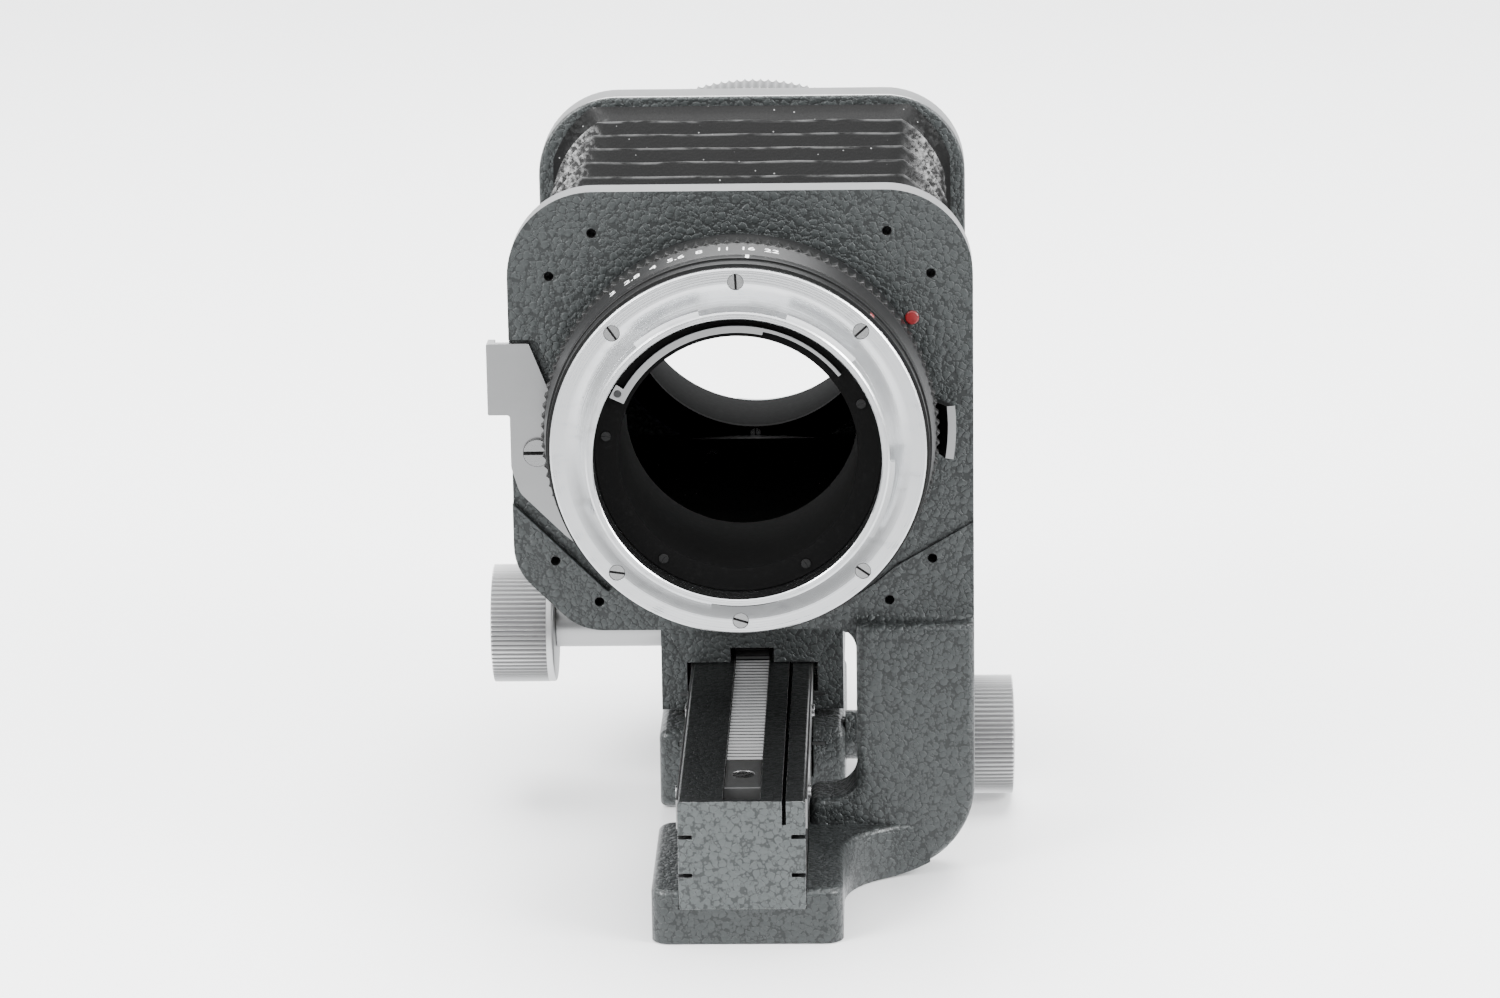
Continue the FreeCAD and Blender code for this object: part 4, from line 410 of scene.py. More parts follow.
# Lighter along the ridges in patches: partly worn cloth, partly a painted highlight where the folds catch
# the light.
wear_and_highlights = (fold.above(0.94, 0.98) * patches).clip()
crumple = cloth.noise(cloth.place((1.0, 0.35, 1.0)), 1.1, 4.0, 0.6)
colour = cloth.blend(wear_and_highlights, grey(0.003), grey(0.07))
colour = cloth.blend((speck * (fold * 0.7 + 0.1)).clip(), colour, grey(0.35))
cloth.set("Base Color", colour)
cloth.set("Roughness", 0.62 - corner * 0.30 - wear_and_highlights * 0.12 + grain * 0.08)
cloth.set("Coat Weight", (corner * crumple.above(0.42, 0.62) * 0.9).clip())
cloth.set("Coat Roughness", 0.16)
cloth.set("Normal", cloth.bump(grain * 0.2 + crumple * corner, 0.35, 0.5))
print("cloth:", cloth.material.name)

# %% [markdown]
# Three small finishes are left: the red enamel of the marks, the white paint in the engraved
# figures, and the nylon of the clamp's pad. None is one flat colour, because enamel is mottled, old
# white is chalky and nylon is a little cloudy. A soft noise between two near colours is enough.

# %% Small finishes
red_enamel = Finish("red_enamel", Coat_Weight=0.6, Coat_Roughness=0.1)
mottle = red_enamel.noise(red_enamel.place(), 2.0, 4.0)
red_enamel.set("Base Color", red_enamel.blend(mottle, (0.09, 0.003, 0.004, 1), (0.20, 0.008, 0.010, 1)))
red_enamel.set("Roughness", 0.25 + mottle * 0.2)
white_enamel = Finish("white_enamel")
chalk = white_enamel.noise(white_enamel.place(), 4.0, 3.0)
white_enamel.set("Base Color", white_enamel.blend(chalk, grey(0.62), grey(0.86)))
white_enamel.set("Roughness", 0.45 + chalk * 0.2)
nylon = Finish("nylon_pad", Subsurface_Weight=0.1)
cast = nylon.noise(nylon.place(), 1.5, 3.0)
nylon.set("Base Color", nylon.blend(cast, grey(0.42), grey(0.6)))
nylon.set("Roughness", 0.5 + cast * 0.2)
print("small finishes:", red_enamel.material.name, white_enamel.material.name, nylon.material.name)


# %% [markdown]
# Most pieces keep the CAD model's shape exactly. Only their edges need care: a real edge is never
# perfectly sharp, and the thin bright line along it is what makes metal look like metal. So each
# piece is a copy whose loose triangles are joined, with a small bevel on its sharp edges.

# %% Dress a CAD piece
SHARP = math.radians(32)
WELD = 2e-6


def put(obj, node_names, material, body=None):
    """Links a finished piece, lets it ride on its body and stand for its CAD nodes."""
    names = [node_names] if isinstance(node_names, str) else list(node_names)
    if obj.name not in bpy.context.scene.collection.objects:
        bpy.context.scene.collection.objects.link(obj)
    if material is not None:
        obj.data.materials.clear()
        obj.data.materials.append(material)
    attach(obj, body or body_of_node[names[0]])
    if body is None:
        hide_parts(*names)
    return obj


def joined_copy(node):
    """The CAD mesh with its triangles joined and merged into flat faces."""
    mesh = nodes[node].data.copy()
    mesh.name = node + "_skin"
    if "custom_normal" in mesh.attributes:
        mesh.attributes.remove(mesh.attributes["custom_normal"])
    work = bmesh.new()
    work.from_mesh(mesh)
    bmesh.ops.remove_doubles(work, verts=work.verts, dist=WELD)
    bmesh.ops.dissolve_limit(work, angle_limit=math.radians(0.5), verts=work.verts, edges=work.edges)
    for face in work.faces:
        face.smooth = True
    for edge in work.edges:
        edge.smooth = edge.calc_face_angle(0) < SHARP
    work.to_mesh(mesh)
    work.free()
    return mesh


def add_grain(mesh):
    """A UV map whose u runs round the optical axis, so that turned metal knows its grain."""
    corner = np.zeros(len(mesh.loops), np.int32)
    mesh.loops.foreach_get("vertex_index", corner)
    place = np.zeros(len(mesh.vertices) * 3)
    mesh.vertices.foreach_get("co", place)
    place = place.reshape(-1, 3)[corner] - (0, 0, AXIS_HEIGHT * MM)
    sides = np.array([p.loop_total for p in mesh.polygons])
    middle = np.array([p.center[:] for p in mesh.polygons]) - (0, 0, AXIS_HEIGHT * MM)
    middle = np.repeat(np.arctan2(middle[:, 2], middle[:, 0]), sides)
    angle = np.arctan2(place[:, 2], place[:, 0]) - middle
    angle = middle + np.mod(angle + np.pi, 2 * np.pi) - np.pi
    radius = np.hypot(place[:, 0], place[:, 2])
    layer = mesh.uv_layers.new(name="grain")
    uv = np.stack([angle / (2 * np.pi), (radius + place[:, 1]) * 20], -1)
    layer.data.foreach_set("uv", uv.ravel())


def dress(node, material, edge=0.12, second=None, picks=None, bevel_material=None):
    """A copy of a CAD node with softened edges; picks chooses faces for a second material."""
    obj = bpy.data.objects.new(node + "_skin", joined_copy(node))
    put(obj, node, material)
    if second is not None:
        obj.data.materials.append(second)
        centre = np.array([p.center[:] for p in obj.data.polygons]) / MM
        normal = np.array([p.normal[:] for p in obj.data.polygons])
        obj.data.polygons.foreach_set("material_index", picks(centre, normal).astype(np.int32))
    if edge:
        bevel = obj.modifiers.new("edge", "BEVEL")
        bevel.width = edge * MM
        bevel.segments = 2
        bevel.limit_method = "ANGLE"
        bevel.angle_limit = SHARP
        bevel.harden_normals = True
        bevel.use_clamp_overlap = True
        if bevel_material is not None:
            obj.data.materials.append(bevel_material)
            bevel.material = len(obj.data.materials) - 1
    return obj


# %% [markdown]
# A node of screws holds several heads, and each slot must be found. Faces that share corners belong
# to one screw: every corner takes the lowest number in its faces until nothing changes, and what has
# one number is one island. In an island the head's face is the highest, and the slot is what lies
# a little below it and well inside its rim.

# %% Slotted screws
HEAD_FACE, SLOT_TOP, SLOT_FLOOR = 0.02, 0.03, 0.8
INSIDE_RIM = 0.93


def islands(mesh):
    """The number of its island for each face: faces that share corners have one number."""
    loop_face = np.repeat(np.arange(len(mesh.polygons)), [p.loop_total for p in mesh.polygons])
    corner = np.zeros(len(mesh.loops), np.int64)
    mesh.loops.foreach_get("vertex_index", corner)
    island = np.arange(len(mesh.vertices))
    while True:
        lowest = np.full(len(mesh.polygons), len(island))
        np.minimum.at(lowest, loop_face, island[corner])
        after = island.copy()
        np.minimum.at(after, corner, lowest[loop_face])
        if np.array_equal(after, island):
            break
        island = after
    group = np.zeros(len(mesh.polygons), np.int64)
    group[loop_face] = island[corner]
    return group


def in_the_slots(mesh, axis):
    """Which faces lie below the heads' faces and inside their rims, one screw at a time."""
    centre = np.array([p.center[:] for p in mesh.polygons]) / MM
    group = islands(mesh)
    chosen = np.zeros(len(mesh.polygons), bool)
    axis = np.array(axis, float)
    for label in np.unique(group):
        mine = np.flatnonzero(group == label)
        place = centre[mine]
        height = place @ axis
        depth = height.max() - height
        across = place - height[:, None] * axis
        face = depth < HEAD_FACE
        middle = across[face].mean(0) if face.any() else across.mean(0)
        away = np.linalg.norm(across - middle, axis=1)
        rim = away[depth < SLOT_FLOOR].max()
        chosen[mine] = (depth > SLOT_TOP) & (depth < SLOT_FLOOR) & (away < INSIDE_RIM * rim)
    return chosen


def screws(node, axis, edge=0.08, material=None):
    """Slotted screws of one node: steel heads, with painted shade in the slots and round the rims."""
    # The bevels round the heads take the near-black finish: a painted dark outline of shade.
    obj = dress(node, material or screw_steel, edge, bevel_material=slot_shade_finish)
    obj.data.polygons.foreach_set("material_index", in_the_slots(obj.data, axis).astype(np.int32))
    return obj


# %% [markdown]
# The camera standard is one casting with two finishes. Its plate was milled round the rim after
# painting, so the faces that look sideways within the plate's thickness are bare metal. They are
# picked by where they lie and where they face, and everything else keeps the paint.

# %% The camera standard
def near_rim(centre, normal):
    """The milled rim: side faces in the plate's thickness, at its sides, top and low left corner."""
    x, y, z = centre.T
    outside = (np.abs(x) > 39) | (z > 121) | ((np.abs(x) > 24) & (z > 106))
    low_left = (z < 60) & (x < -18) & (z < 45.6) | ((x < -27) & (z < 58) & (x + z < 34))
    sideways = np.abs(normal[:, 1]) < 0.5
    return sideways & (y > -55.9) & (z > 44.3) & (outside | low_left)


standard = dress("camera_standard", casting_paint, 0.3, rim_metal, near_rim, worn_edge)
print("camera standard", len(standard.data.polygons), "faces")


# %% [markdown]
# The lens standard's plate has the same milled rim, and its saddle is painted. The tripod carriage
# and the clamp's sleeve are painted all over.

# %% The lens standard
def far_rim(centre, normal):
    """The milled rim of the lens standard's plate."""
    x, y, z = centre.T
    sideways = np.abs(normal[:, 1]) < 0.5
    at_the_edge = (np.abs(x) > 28) | (z > 106) | (z < 60)
    return sideways & (y > 29.1) & (z > 44.3) & at_the_edge


dress("lens_standard", casting_paint, 0.22, rim_metal, far_rim, worn_edge)
dress("tripod_carriage", casting_paint, 0.25)
dress("clamp_sleeve", casting_paint, 0.1)
print("lens standard and carriage dressed")


# %% [markdown]
# The rail is a milled bar with the same enamel; its long edges are rubbed bare by the saddles. Its
# long faces take a much darker copy of the paint than its ends: painted shade on the long faces and
# painted light on the ends, for how the light falls on them. The pieces on and in the rail keep
# the CAD model's shapes, and a table says which way the heads of each node of screws look.

# %% The rail and its pieces
def long_faces(centre, normal):
    """The faces that run along the rail."""
    return np.abs(normal[:, 1]) < 0.5


# The long faces take the darker copy of the paint: painted shade.
dress("rail", rail_paint_lit_copy, 0.32, rail_paint_shaded_copy, long_faces, worn_edge)
dress("rack", rack_steel, 0.05)
for name in ("scale_strip_left", "scale_strip_right"):
    dress(name, satin_metal, 0.05)
dress("rail_stop_plate", anodised_black, 0.1)
SCREW_HEADS = {
    "rack_screws": (0, 0, 1), "foot_screws": (0, 0, -1), "stop_plate_screws": (0, 1, 0),
    "barrel_screws": (0, 1, 0), "front_frame_screws": (0, 1, 0), "rear_frame_screws": (0, -1, 0),
    "retainer_screws": (0, -1, 0), "lever_pivot_screw": (0, -1, 0), "camera_bayonet_screws": (0, -1, 0),
    "lens_bayonet_screws": (0, 1, 0),
}
for name, axis in SCREW_HEADS.items():
    screws(name, axis)
dress("strip_screws", screw_steel, 0.05)
screws("baffle_screws", (0, -1, 0), 0.03, anodised_black)
for name in ("bellows_front_frame", "bellows_rear_frame", "mount_barrel"):
    dress(name, anodised_black, 0.15)
dress("mount_retainer", matt_black, 0.05)
for name in ("upper_guide_keys", "lower_guide_keys", "drive_shaft", "clamp_shaft",
             "tripod_bush", "aperture_key", "diaphragm_drive_pin", "pinion"):
    dress(name, dark_steel, 0.05)
for name in ("shaft_sleeve", "release_lever", "diaphragm_drive_ring"):
    dress(name, satin_metal, 0.10)
dress("shaft_bush", brass_metal.material, 0.04)
dress("alignment_dot", red_enamel.material, 0.0)
dress("clamp_pad", nylon.material, 0.1)
print("screws dressed:", len(SCREW_HEADS) + 2, "nodes")


# %% [markdown]
# Everything that was turned on a lathe is a profile carried round an axis. The profile is drawn as
# a few corners, each with its own small radius, and the surface is one array sum: place along the
# axis stays, and the radius becomes a point on a circle. Lugs and ribs are only changes of the
# radius with the angle.

# %% Turned surfaces
def rounded_profile(corners, radius, steps, ring):
    """Corners (y, r) in mm, each an arc (1-t)^2 start + 2t(1-t) b + t^2 end; open ends are kept."""
    corners = np.array(corners, float)
    before, after = np.roll(corners, 1, 0), np.roll(corners, -1, 0)
    points = []
    for a, b, c in zip(before, corners, after):
        if not ring and (np.array_equal(b, corners[0]) or np.array_equal(b, corners[-1])):
            points.append(b)
            continue
        back, ahead = a - b, c - b
        reach = min(radius, 0.4 * np.linalg.norm(back), 0.4 * np.linalg.norm(ahead))
        start = b + back / np.linalg.norm(back) * reach
        end = b + ahead / np.linalg.norm(ahead) * reach
        for t in np.linspace(0, 1, steps + 1):
            points.append((1 - t) ** 2 * start + 2 * t * (1 - t) * b + t ** 2 * end)
    return np.array(points)


def grid_mesh(name, points, close_u, close_v):
    """A smooth mesh from an (nu, nv, 3) array of points in mm, closed where asked."""
    nu, nv = points.shape[:2]
    index = np.arange(nu * nv).reshape(nu, nv)
    if close_u:
        index = np.vstack([index, index[:1]])
    if close_v:
        index = np.hstack([index, index[:, :1]])
    quads = np.stack([index[:-1, :-1], index[1:, :-1], index[1:, 1:], index[:-1, 1:]], -1)
    quads = quads.reshape(-1, 4)
    mesh = bpy.data.meshes.new(name)
    mesh.vertices.add(nu * nv)
    mesh.vertices.foreach_set("co", (points.reshape(-1, 3) * MM).ravel())
    mesh.loops.add(quads.size)
    mesh.loops.foreach_set("vertex_index", quads.ravel().astype(np.int32))
    mesh.polygons.add(len(quads))
    mesh.polygons.foreach_set("loop_start", np.arange(0, quads.size, 4, dtype=np.int32))
    mesh.update(calc_edges=True)
    mesh.validate()
    return mesh


LATHE_SHARP = math.radians(35)


def finish_mesh(mesh):
    """Turns the faces outwards and smooths all but the sharp edges."""
    work = bmesh.new()
    work.from_mesh(mesh)
    bmesh.ops.remove_doubles(work, verts=work.verts, dist=1e-7)
    bmesh.ops.recalc_face_normals(work, faces=work.faces)
    for face in work.faces:
        face.smooth = True
    for edge in work.edges:
        edge.smooth = edge.calc_face_angle(0) < LATHE_SHARP
    work.to_mesh(mesh)
    work.free()
    return mesh


def lathe(name, corners, angles, ripple=None, radius=0.15, centre=(0.0, AXIS_HEIGHT), along="Y"):
    """Turned form: (x, z) = centre + r (cos a, sin a) at each y; ripple(profile, angles) adds to r."""
    ring = min(r for y, r in corners) > 0
    profile = rounded_profile(corners, radius, 3, ring)
    a = np.asarray(angles)[:, None]
    r = np.broadcast_to(profile[:, 1], (len(angles), len(profile))).copy()
    change = np.zeros(r.shape) if ripple is None else ripple(profile, a) + np.zeros(r.shape)
    r += change
    y = np.broadcast_to(profile[:, 0], r.shape)
    if along == "Y":
        points = np.stack([centre[0] + r * np.cos(a), y, centre[1] + r * np.sin(a)], -1)
    else:
        points = np.stack([y, centre[0] + r * np.cos(a), centre[1] + r * np.sin(a)], -1)
    mesh = grid_mesh(name, points, True, ring)
    groove = mesh.attributes.new("groove", "FLOAT", "POINT")
    sunk = np.clip(-change / max(1e-6, -change.min()), 0, 1)
    groove.data.foreach_set("value", sunk.ravel())
    # The ridge mark is where the anodised finish paints a highlight on the knurl.
    ridge = mesh.attributes.new("ridge", "FLOAT", "POINT")
    ridge.data.foreach_set("value", ((sunk > 0) & (sunk < 0.5)).astype(float).ravel())
    return finish_mesh(mesh)


def even_angles(count):
    """Evenly spaced angles round the axis."""
    return np.linspace(0, 2 * np.pi, count, endpoint=False)


def ribs(count, depth, low, high):
    """Straight ribs between two places along the axis, sunk by depth between them."""
    def ripple(profile, angles):
        wave = 0.5 - 0.5 * np.cos(angles * count)
        inside = (profile[:, 0] > low) & (profile[:, 0] < high)
        return -depth * (0.02 + 0.98 * np.sqrt(wave)) * inside
    return ripple


# %% [markdown]
# The camera bayonet is the brightest piece: a wide flange and a spigot with four lugs. Its shape
# comes from the CAD model, and a UV map tells the plating which way its grain runs.

# %% The camera bayonet and the lens bayonet
bayonet = dress("camera_bayonet", turned_chrome, 0.1)
add_grain(bayonet.data)
add_grain(dress("lens_bayonet", turned_chrome, 0.1).data)
print("camera bayonet", len(bayonet.data.polygons), "faces")

# %% [markdown]
# Behind the flange are two black rings. The index ring is plain with a step. The aperture ring is
# a flat cone that carries the figures, with a narrow knurled band behind it. The knurl is 120
# grooves cut to half a millimetre, which the lathe makes by lowering the radius with the angle.

# %% The index ring and the aperture ring
index_front = FLANGE + 1.5
index_back = index_front + 5.2
index_mesh = lathe("index_ring_skin", [
    (index_front, 31.06), (index_front, 32.3), (index_front + 2.6, 32.3), (index_front + 2.6, 32.7),
    (index_back, 32.7), (index_back, 31.06),
], even_angles(240), None, 0.12)
put(bpy.data.objects.new("index_ring_skin", index_mesh), "index_ring", anodised_black)
ring_front = index_back + 0.3
ring_back = ring_front + 7.2
knurl_front = ring_back - 2.4
ring_mesh = lathe("aperture_ring_skin", [
    (ring_front, 31.1), (ring_front, 32.6), (knurl_front - 0.1, 33.45), (knurl_front, 34.05),
    (ring_back, 34.05), (ring_back, 31.1),
], even_angles(960), ribs(120, 0.55, knurl_front - 0.08, ring_back + 0.1), 0.15)
put(bpy.data.objects.new("aperture_ring_skin", ring_mesh), "aperture_ring", anodised_black)
print("aperture ring", len(ring_mesh.polygons), "faces")

# %% [markdown]
# The far mount turns in the lens standard and has a wide knurled band, whose top is all that the
# photograph shows. Inside it is blackened, so that no light is thrown about; faces nearer the axis
# than 28 mm take the black.

# %% The lens mount and its knurled ring
knurl_low, knurl_high = FAR_BACK + 1.85, FAR_BACK + 8.85
RING, BLACK_INSIDE = 40.1, 28.0
mount_mesh = lathe("lens_mount_ring_skin", [
    (30.6, 23.85), (30.6, 26.45), (37.3, 26.45), (37.3, 38.4), (knurl_low - 0.8, 39.0), (knurl_low, RING),
    (knurl_high, RING), (knurl_high + 0.8, 39.0), (47.4, 38.4), (47.4, 32.6), (55.5, 32.6),
    (55.5, 27.4), (49.5, 27.4), (49.5, 23.85),
], even_angles(168 * 6), ribs(168, 0.5, knurl_low - 0.3, knurl_high + 0.3), 0.2)
mount_ring = put(bpy.data.objects.new("lens_mount_ring_skin", mount_mesh), "lens_mount_ring", ring_metal)
mount_mesh.materials.append(matt_black)
centres = np.array([p.center[:] for p in mount_mesh.polygons]) / MM
inside = np.hypot(centres[:, 0], centres[:, 2] - AXIS_HEIGHT) < BLACK_INSIDE
mount_mesh.polygons.foreach_set("material_index", inside.astype(np.int32))
print("lens mount ring", len(mount_mesh.polygons), "faces")

# %% [markdown]
# A baffle lines the near mount. It is a thin tube with a flat front, in the dullest black of all.

# %% The baffle
baffle_mesh = lathe("light_baffle_skin", [
    (FLANGE - 0.1, 20.2), (FLANGE - 0.1, 24.15), (index_front, 24.15), (index_front, 21.2),
    (NEAR_FACE + 5, 21.2), (NEAR_FACE + 5, 20.2),
], even_angles(200), None, 0.2)
put(bpy.data.objects.new("light_baffle_skin", baffle_mesh), "light_baffle", matt_black)
print("baffle", len(baffle_mesh.polygons), "faces")


# %% [markdown]
# A knob is a lathe shape whose ribs run along its length. Here the axis is across the object.

# %% The knobs
KNOB_START, KNOB_RADIUS, KNOB_RIBS, RIB_DEPTH = 36.2, 10.9, 76, 0.42


def knob(node, side, place):
    """A ribbed knob on the left (side -1) or the right (side 1); place is its axis (y, z)."""
    start = side * KNOB_START
    shoulder = KNOB_RADIUS - 0.05
    corners = [
        (start, 0.0), (start, 10.6), (start + side * 0.3, shoulder), (start + side * 1.3, shoulder),
        (start + side * 1.4, KNOB_RADIUS), (start + side * 11.4, KNOB_RADIUS), (start + side * 11.5, 10.3),
        (start + side * 11.75, 7.0), (start + side * 12.0, 0.0),
    ]
    low, high = sorted((start + side * 1.35, start + side * 11.45))
    ripple = ribs(KNOB_RIBS, RIB_DEPTH, low, high)
    mesh = lathe(node + "_skin", corners, even_angles(KNOB_RIBS * 8), ripple, 0.15, place, "X")
    return put(bpy.data.objects.new(node + "_skin", mesh), node, knob_metal)


knob("focus_knob", -1, SHAFT_PLACE)
knob("clamp_knob", 1, CLAMP_PLACE)
print("two knobs with", KNOB_RIBS, "ribs each")

# %% [markdown]
# The release tab is a narrow piece of a cone, black with a bare front edge. The CAD shape is right,
# so it only needs its two finishes.

# %% The release tab
def front_edge(centre, normal):
    """The tab's front faces, which look towards the camera."""
    return (centre[:, 1] < -62.5) & (normal[:, 1] < -0.4)


dress("release_tab_ring", anodised_black, 0.1, satin_metal, front_edge)
print("release tab dressed")


# %% [markdown]
# The bellows is a closed band: u runs round its eight sides and v along its folds. Between ridge
# and valley the half width is a triangle wave with a narrow flat peak. Each end opens out once
# more and is glued to its standard. Across a corner the cloth folds in an arc that drops further
# down the side than it runs in from the top. Small waves make the cloth look soft.

# %% The bellows
BELLOWS_START, BELLOWS_END, PLEATS = -48.8, 26.0, 6
RIDGE_HALF, VALLEY_HALF = 36.3, 26.995
MIDDLE = AXIS_HEIGHT + 1.0
FLARE_HALF, FLARE_VALLEY, FLARE_LENGTH = 37.2, 29.5, 2.6
CLOTH_THICKNESS = 0.5


def bellows_fold():
    """Place along the axis, half width and ridge value at each step along the folds."""
    steps = np.array([0.0, 0.12, 0.5, 0.85, 0.95, 0.985, 1.015, 1.05, 1.15, 1.5, 1.88])
    v = np.append((steps + 2 * np.arange(PLEATS)[:, None]).ravel(), 2 * PLEATS)
    wave = np.minimum(1 - np.abs(np.mod(v, 2) - 1), 0.985)
    y = BELLOWS_START + (BELLOWS_END - BELLOWS_START) * v / (2 * PLEATS)
    half = VALLEY_HALF + (RIDGE_HALF - VALLEY_HALF) * wave
    ends = ((v < 0.5) | (v > 2 * PLEATS - 0.5)) & (half < FLARE_VALLEY)
    v, y, half, wave = v[~ends], y[~ends], half[~ends], wave[~ends]
    y = np.concatenate([[BELLOWS_START - 1.2, y[0] - FLARE_LENGTH * 0.4], y,
                        [y[-1] + FLARE_LENGTH * 0.4, BELLOWS_END + FLARE_LENGTH]])
    half = np.concatenate([[FLARE_HALF, FLARE_VALLEY], half, [FLARE_VALLEY, FLARE_HALF]])
    wave = np.concatenate([[0.9, 0.0], wave, [0.0, 0.9]])
    return y, half, wave


def bellows_points(around=22, across=9):
    """Points of the band in mm and their marks: half width = valley + (ridge - valley) * wave."""
    y, half, wave = bellows_fold()
    tall, wide = 4.0 + 6.5 * wave, 4.0 + 4.0 * wave
    t = np.linspace(0, 1, around, endpoint=False)[:, None]
    c = np.linspace(0, 1, across, endpoint=False)[:, None]
    points, marks = [], []
    for quarter in range(4):
        turn = np.linalg.matrix_power(np.array([[0, -1], [1, 0]], float), quarter)
        here, beyond = (tall, wide) if quarter % 2 == 0 else (wide, tall)
        side = np.stack([half + 0 * t, (2 * t - 1) * (half - here)], -1)
        bulge = 3.2 * c * (1 - c) * wave
        cut = np.stack([half - beyond * c + bulge, half - here * (1 - c) + bulge], -1)
        points.append(np.concatenate([side, cut]) @ turn.T)
        marks.append(np.concatenate([np.zeros(around), np.sin(np.pi * (c[:, 0] * 0.9 + 0.05))]))
    points = np.concatenate(points)
    marks = np.concatenate(marks)
    sag = 0.12 * np.sin(points[..., 0] * 0.35 + y * 0.27) * np.sin(points[..., 1] * 0.21 + y * 0.16)
    xyz = np.stack([points[..., 0] * (1 + sag / 60), np.broadcast_to(y, sag.shape) + sag * wave,
                    MIDDLE + points[..., 1] * (1 + sag / 60)], -1)
    return xyz, np.broadcast_to(wave, sag.shape), np.broadcast_to(marks[:, None], sag.shape)


outer_skin, fold_value, corner_value = bellows_points()
bellows_mesh = grid_mesh("bellows_skin", outer_skin, True, False)
for label, values in (("fold", fold_value), ("corner", corner_value)):
    layer = bellows_mesh.attributes.new(label, "FLOAT", "POINT")
    layer.data.foreach_set("value", np.ascontiguousarray(values, float).ravel())
work = bmesh.new()
work.from_mesh(bellows_mesh)
for face in work.faces:
    face.smooth = True
outward = 0.0
for face in work.faces:
    middle = face.calc_center_median()
    outward += face.normal.dot(middle - Vector((0, middle.y, MIDDLE * MM)))
if outward < 0:
    bmesh.ops.reverse_faces(work, faces=work.faces)
for edge in work.edges:
    edge.smooth = edge.calc_face_angle(0) < math.radians(50)
work.to_mesh(bellows_mesh)
work.free()
bellows = bpy.data.objects.new("bellows_skin", bellows_mesh)
bpy.context.scene.collection.objects.link(bellows)
bellows_mesh.materials.append(cloth.material)
thick = bellows.modifiers.new("thickness", "SOLIDIFY")
thick.thickness = CLOTH_THICKNESS * MM
thick.offset = -1
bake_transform(bellows)
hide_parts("bellows")
print("bellows", len(bellows_mesh.polygons), "faces")


# %% [markdown]
# The aperture figures are engraved and filled with white. Each is set as text, turned into a mesh,
# and wrapped round the ring: the text's width becomes an angle and its height runs along the cone.

# %% The aperture figures
FIGURE_PLACE, FIGURE_RADIUS, CONE_SLOPE = -70.1, 33.06, 0.19
FIGURE_HEIGHT, FIGURE_WIDENING = 1.25, 1.55


def wrap(flat, angle, y_middle, radius, slope):
    """Bends flat text onto the ring: clockwise angle from the top, y along the axis, lift off it."""
    x, y, lift = flat.T
    place = y_middle + y
    r = radius + slope * (place - y_middle) + lift
    a = math.radians(angle) + x / radius
    return np.stack([r * np.sin(a), place, AXIS_HEIGHT + r * np.cos(a)], -1)


def figure(label, angle):
    """One raised enamel figure on the cone."""
    curve = bpy.data.curves.new("figure", "FONT")
    curve.body = label
    curve.align_x, curve.align_y = "CENTER", "CENTER"
    curve.size = FIGURE_HEIGHT * 1.38
    curve.extrude = 0.03
    curve.resolution_u = 4
    holder = bpy.data.objects.new("figure", curve)
    bpy.context.scene.collection.objects.link(holder)
    bpy.context.view_layer.update()
    mesh = bpy.data.meshes.new_from_object(holder.evaluated_get(bpy.context.evaluated_depsgraph_get()))
    bpy.data.objects.remove(holder)
    flat = np.zeros(len(mesh.vertices) * 3)
    mesh.vertices.foreach_get("co", flat)
    flat = flat.reshape(-1, 3) * (FIGURE_WIDENING, 1.0, 1.0)
    bent = wrap(flat, angle, FIGURE_PLACE, FIGURE_RADIUS, CONE_SLOPE)
    mesh.vertices.foreach_set("co", (bent * MM).ravel())
    name = "figure_" + label.replace(".", "_")
    obj = bpy.data.objects.new(name, mesh)
    bpy.context.scene.collection.objects.link(obj)
    mesh.materials.clear()
    mesh.materials.append(white_enamel.material)
    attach(obj, "aperture_body")
    return obj


FIGURES = ("2", "2.8", "4", "5.6", "8", "11", "16", "22")
FIRST_ANGLE, STOP_ANGLE = -39.6, 7.13
for count, label in enumerate(FIGURES):
    figure(label, FIRST_ANGLE + STOP_ANGLE * count)
print("figures:", " ".join(FIGURES))


# %% [markdown]
# Two enamel bars are read against: the white index over the aperture figures, and the red mark
# where the camera goes on. Each is a thin bar bent to its ring, closed at both ends.

# %% The index marks
def ring_mark(name, angle, width, y_low, y_high, radius, material, body):
    """A small enamel bar on a ring, following its curve."""
    a = math.radians(angle) + np.linspace(-width / 2, width / 2, 5)[:, None] / radius
    y = np.array([y_low, y_low, y_high, y_high])
    lift = np.array([-0.05, 0.05, 0.05, -0.05])
    r = radius + np.broadcast_to(lift, (5, 4))
    points = np.stack([r * np.sin(a), np.broadcast_to(y, (5, 4)), AXIS_HEIGHT + r * np.cos(a)], -1)
    mesh = grid_mesh(name, points, False, True)
    work = bmesh.new()
    work.from_mesh(mesh)
    bmesh.ops.holes_fill(work, edges=[e for e in work.edges if e.is_boundary])
    bmesh.ops.recalc_face_normals(work, faces=work.faces)
    work.to_mesh(mesh)
    work.free()
    obj = bpy.data.objects.new(name, mesh)
    bpy.context.scene.collection.objects.link(obj)
    mesh.materials.append(material)
    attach(obj, body)
    return obj


ring_mark("index_mark", 3.3, 0.65, index_back - 2.5, index_back - 0.3, 32.7,
          white_enamel.material, "base")
ring_mark("red_mark", 44.8, 0.8, index_front + 0.4, index_front + 2.3, 32.3,
          red_enamel.material, "base")
print("two marks on the index ring")

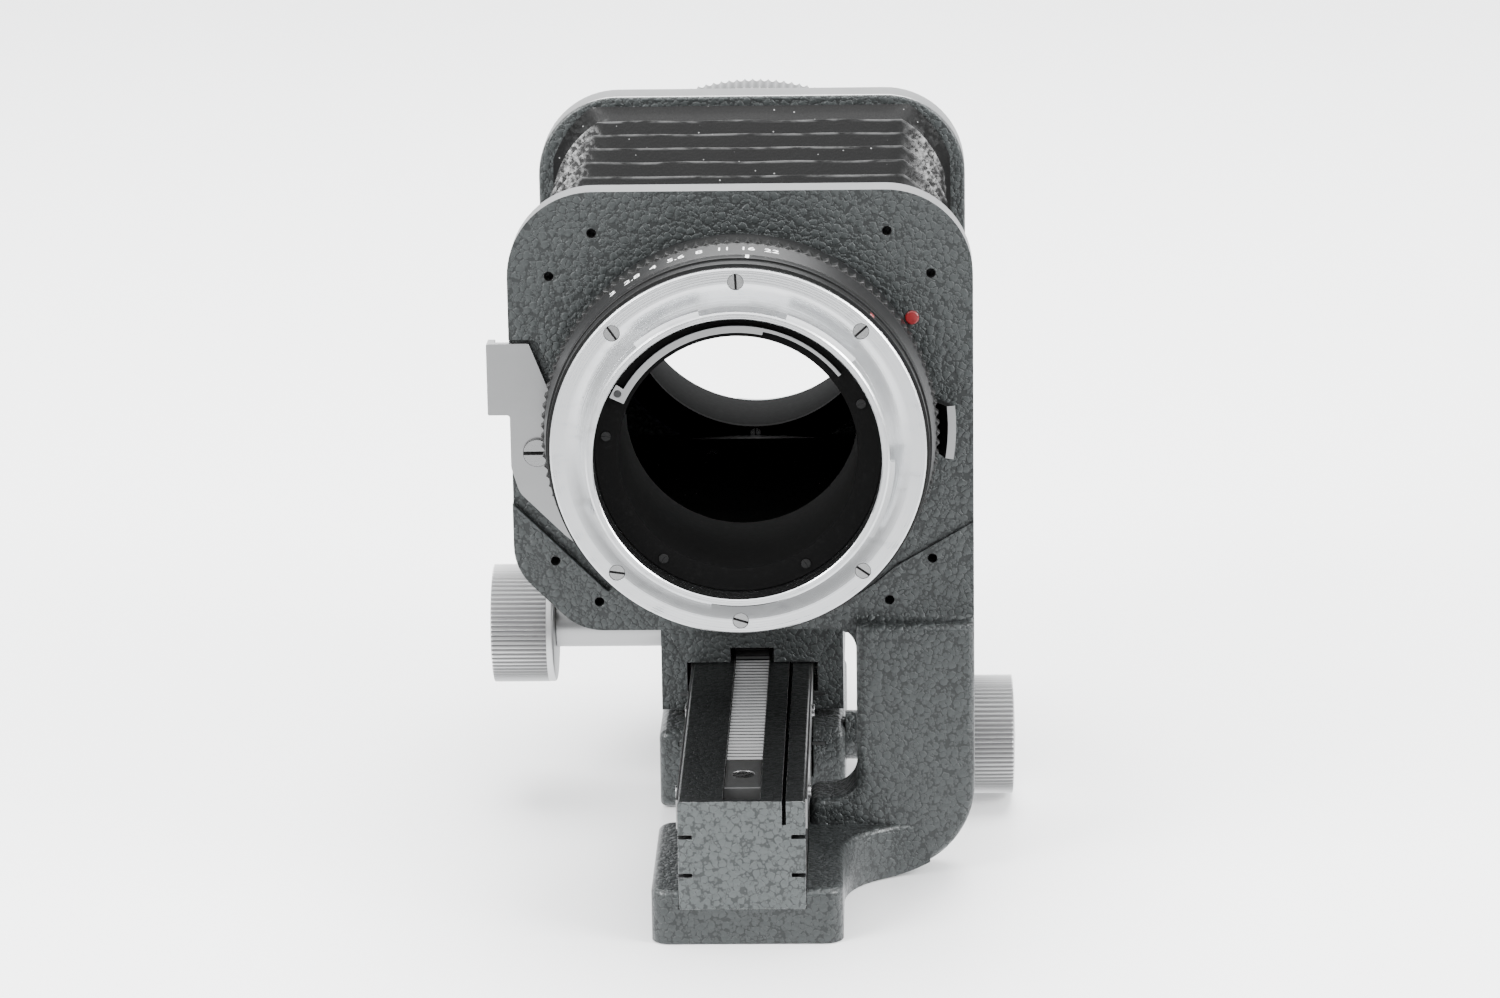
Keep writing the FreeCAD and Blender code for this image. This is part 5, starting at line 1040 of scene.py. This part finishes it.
# %% [markdown]
# The stage is a pale floor that rises into a pale background, and three large soft lights: one
# above and behind for the tops, and one from each side of the camera. The sky is bright below and
# high up and dim between, so that polished metal has something light and something dark to mirror.

# %% Floor and light
floor_mesh = bpy.data.meshes.new("floor")
floor_mesh.from_pydata([(-6, -3, 0), (6, -3, 0), (6, 9, 0), (-6, 9, 0)], [], [(0, 1, 2, 3)])
floor = bpy.data.objects.new("floor", floor_mesh)
floor.location.z = -0.0002
bpy.context.scene.collection.objects.link(floor)
paper = Finish("pale_floor", Roughness=0.35)
paper.set("Base Color", grey(0.86))
floor_mesh.materials.append(paper.material)
floor.visible_glossy = False

world = bpy.data.worlds.new("studio")
bpy.context.scene.world = world
world.use_nodes = True
sky = world.node_tree
facing = add(sky, "ShaderNodeTexCoord", {}, [], "Generated")
ahead = add(sky, "ShaderNodeSeparateXYZ", {}, [facing], "Y")
above = add(sky, "ShaderNodeSeparateXYZ", {}, [facing], "Z")
near_side = 0.5 + (1 - above.above(-0.30, -0.22)) * 2.4 + above.above(0.15, 0.6) * 2.2
far_side = ahead.above(-0.2, 0.3)
glow = near_side * (1 - far_side) + far_side * 2.6
sky.nodes["Background"].inputs["Color"].default_value = (0.97, 0.985, 1.0, 1)
sky.links.new(glow.socket, sky.nodes["Background"].inputs["Strength"])


def soft_light(name, place, target, size, power):
    """A square lamp at place, facing target."""
    data = bpy.data.lights.new(name, "AREA")
    data.shape = "RECTANGLE"
    data.size, data.size_y = size
    data.energy = power
    lamp = bpy.data.objects.new(name, data)
    lamp.location = place
    lamp.rotation_euler = (Vector(target) - Vector(place)).to_track_quat("-Z", "Y").to_euler()
    bpy.context.scene.collection.objects.link(lamp)
    return lamp


soft_light("overhead", (0.0, 0.35, 1.1), (0, 0, 0.08), (0.9, 0.7), 42)
soft_light("left", (-0.9, -0.7, 0.7), (0, 0, 0.08), (0.6, 0.8), 32)
soft_light("right", (1.0, -0.5, 0.6), (0, 0, 0.08), (0.5, 0.8), 28)
print("stage, sky and three lamps")
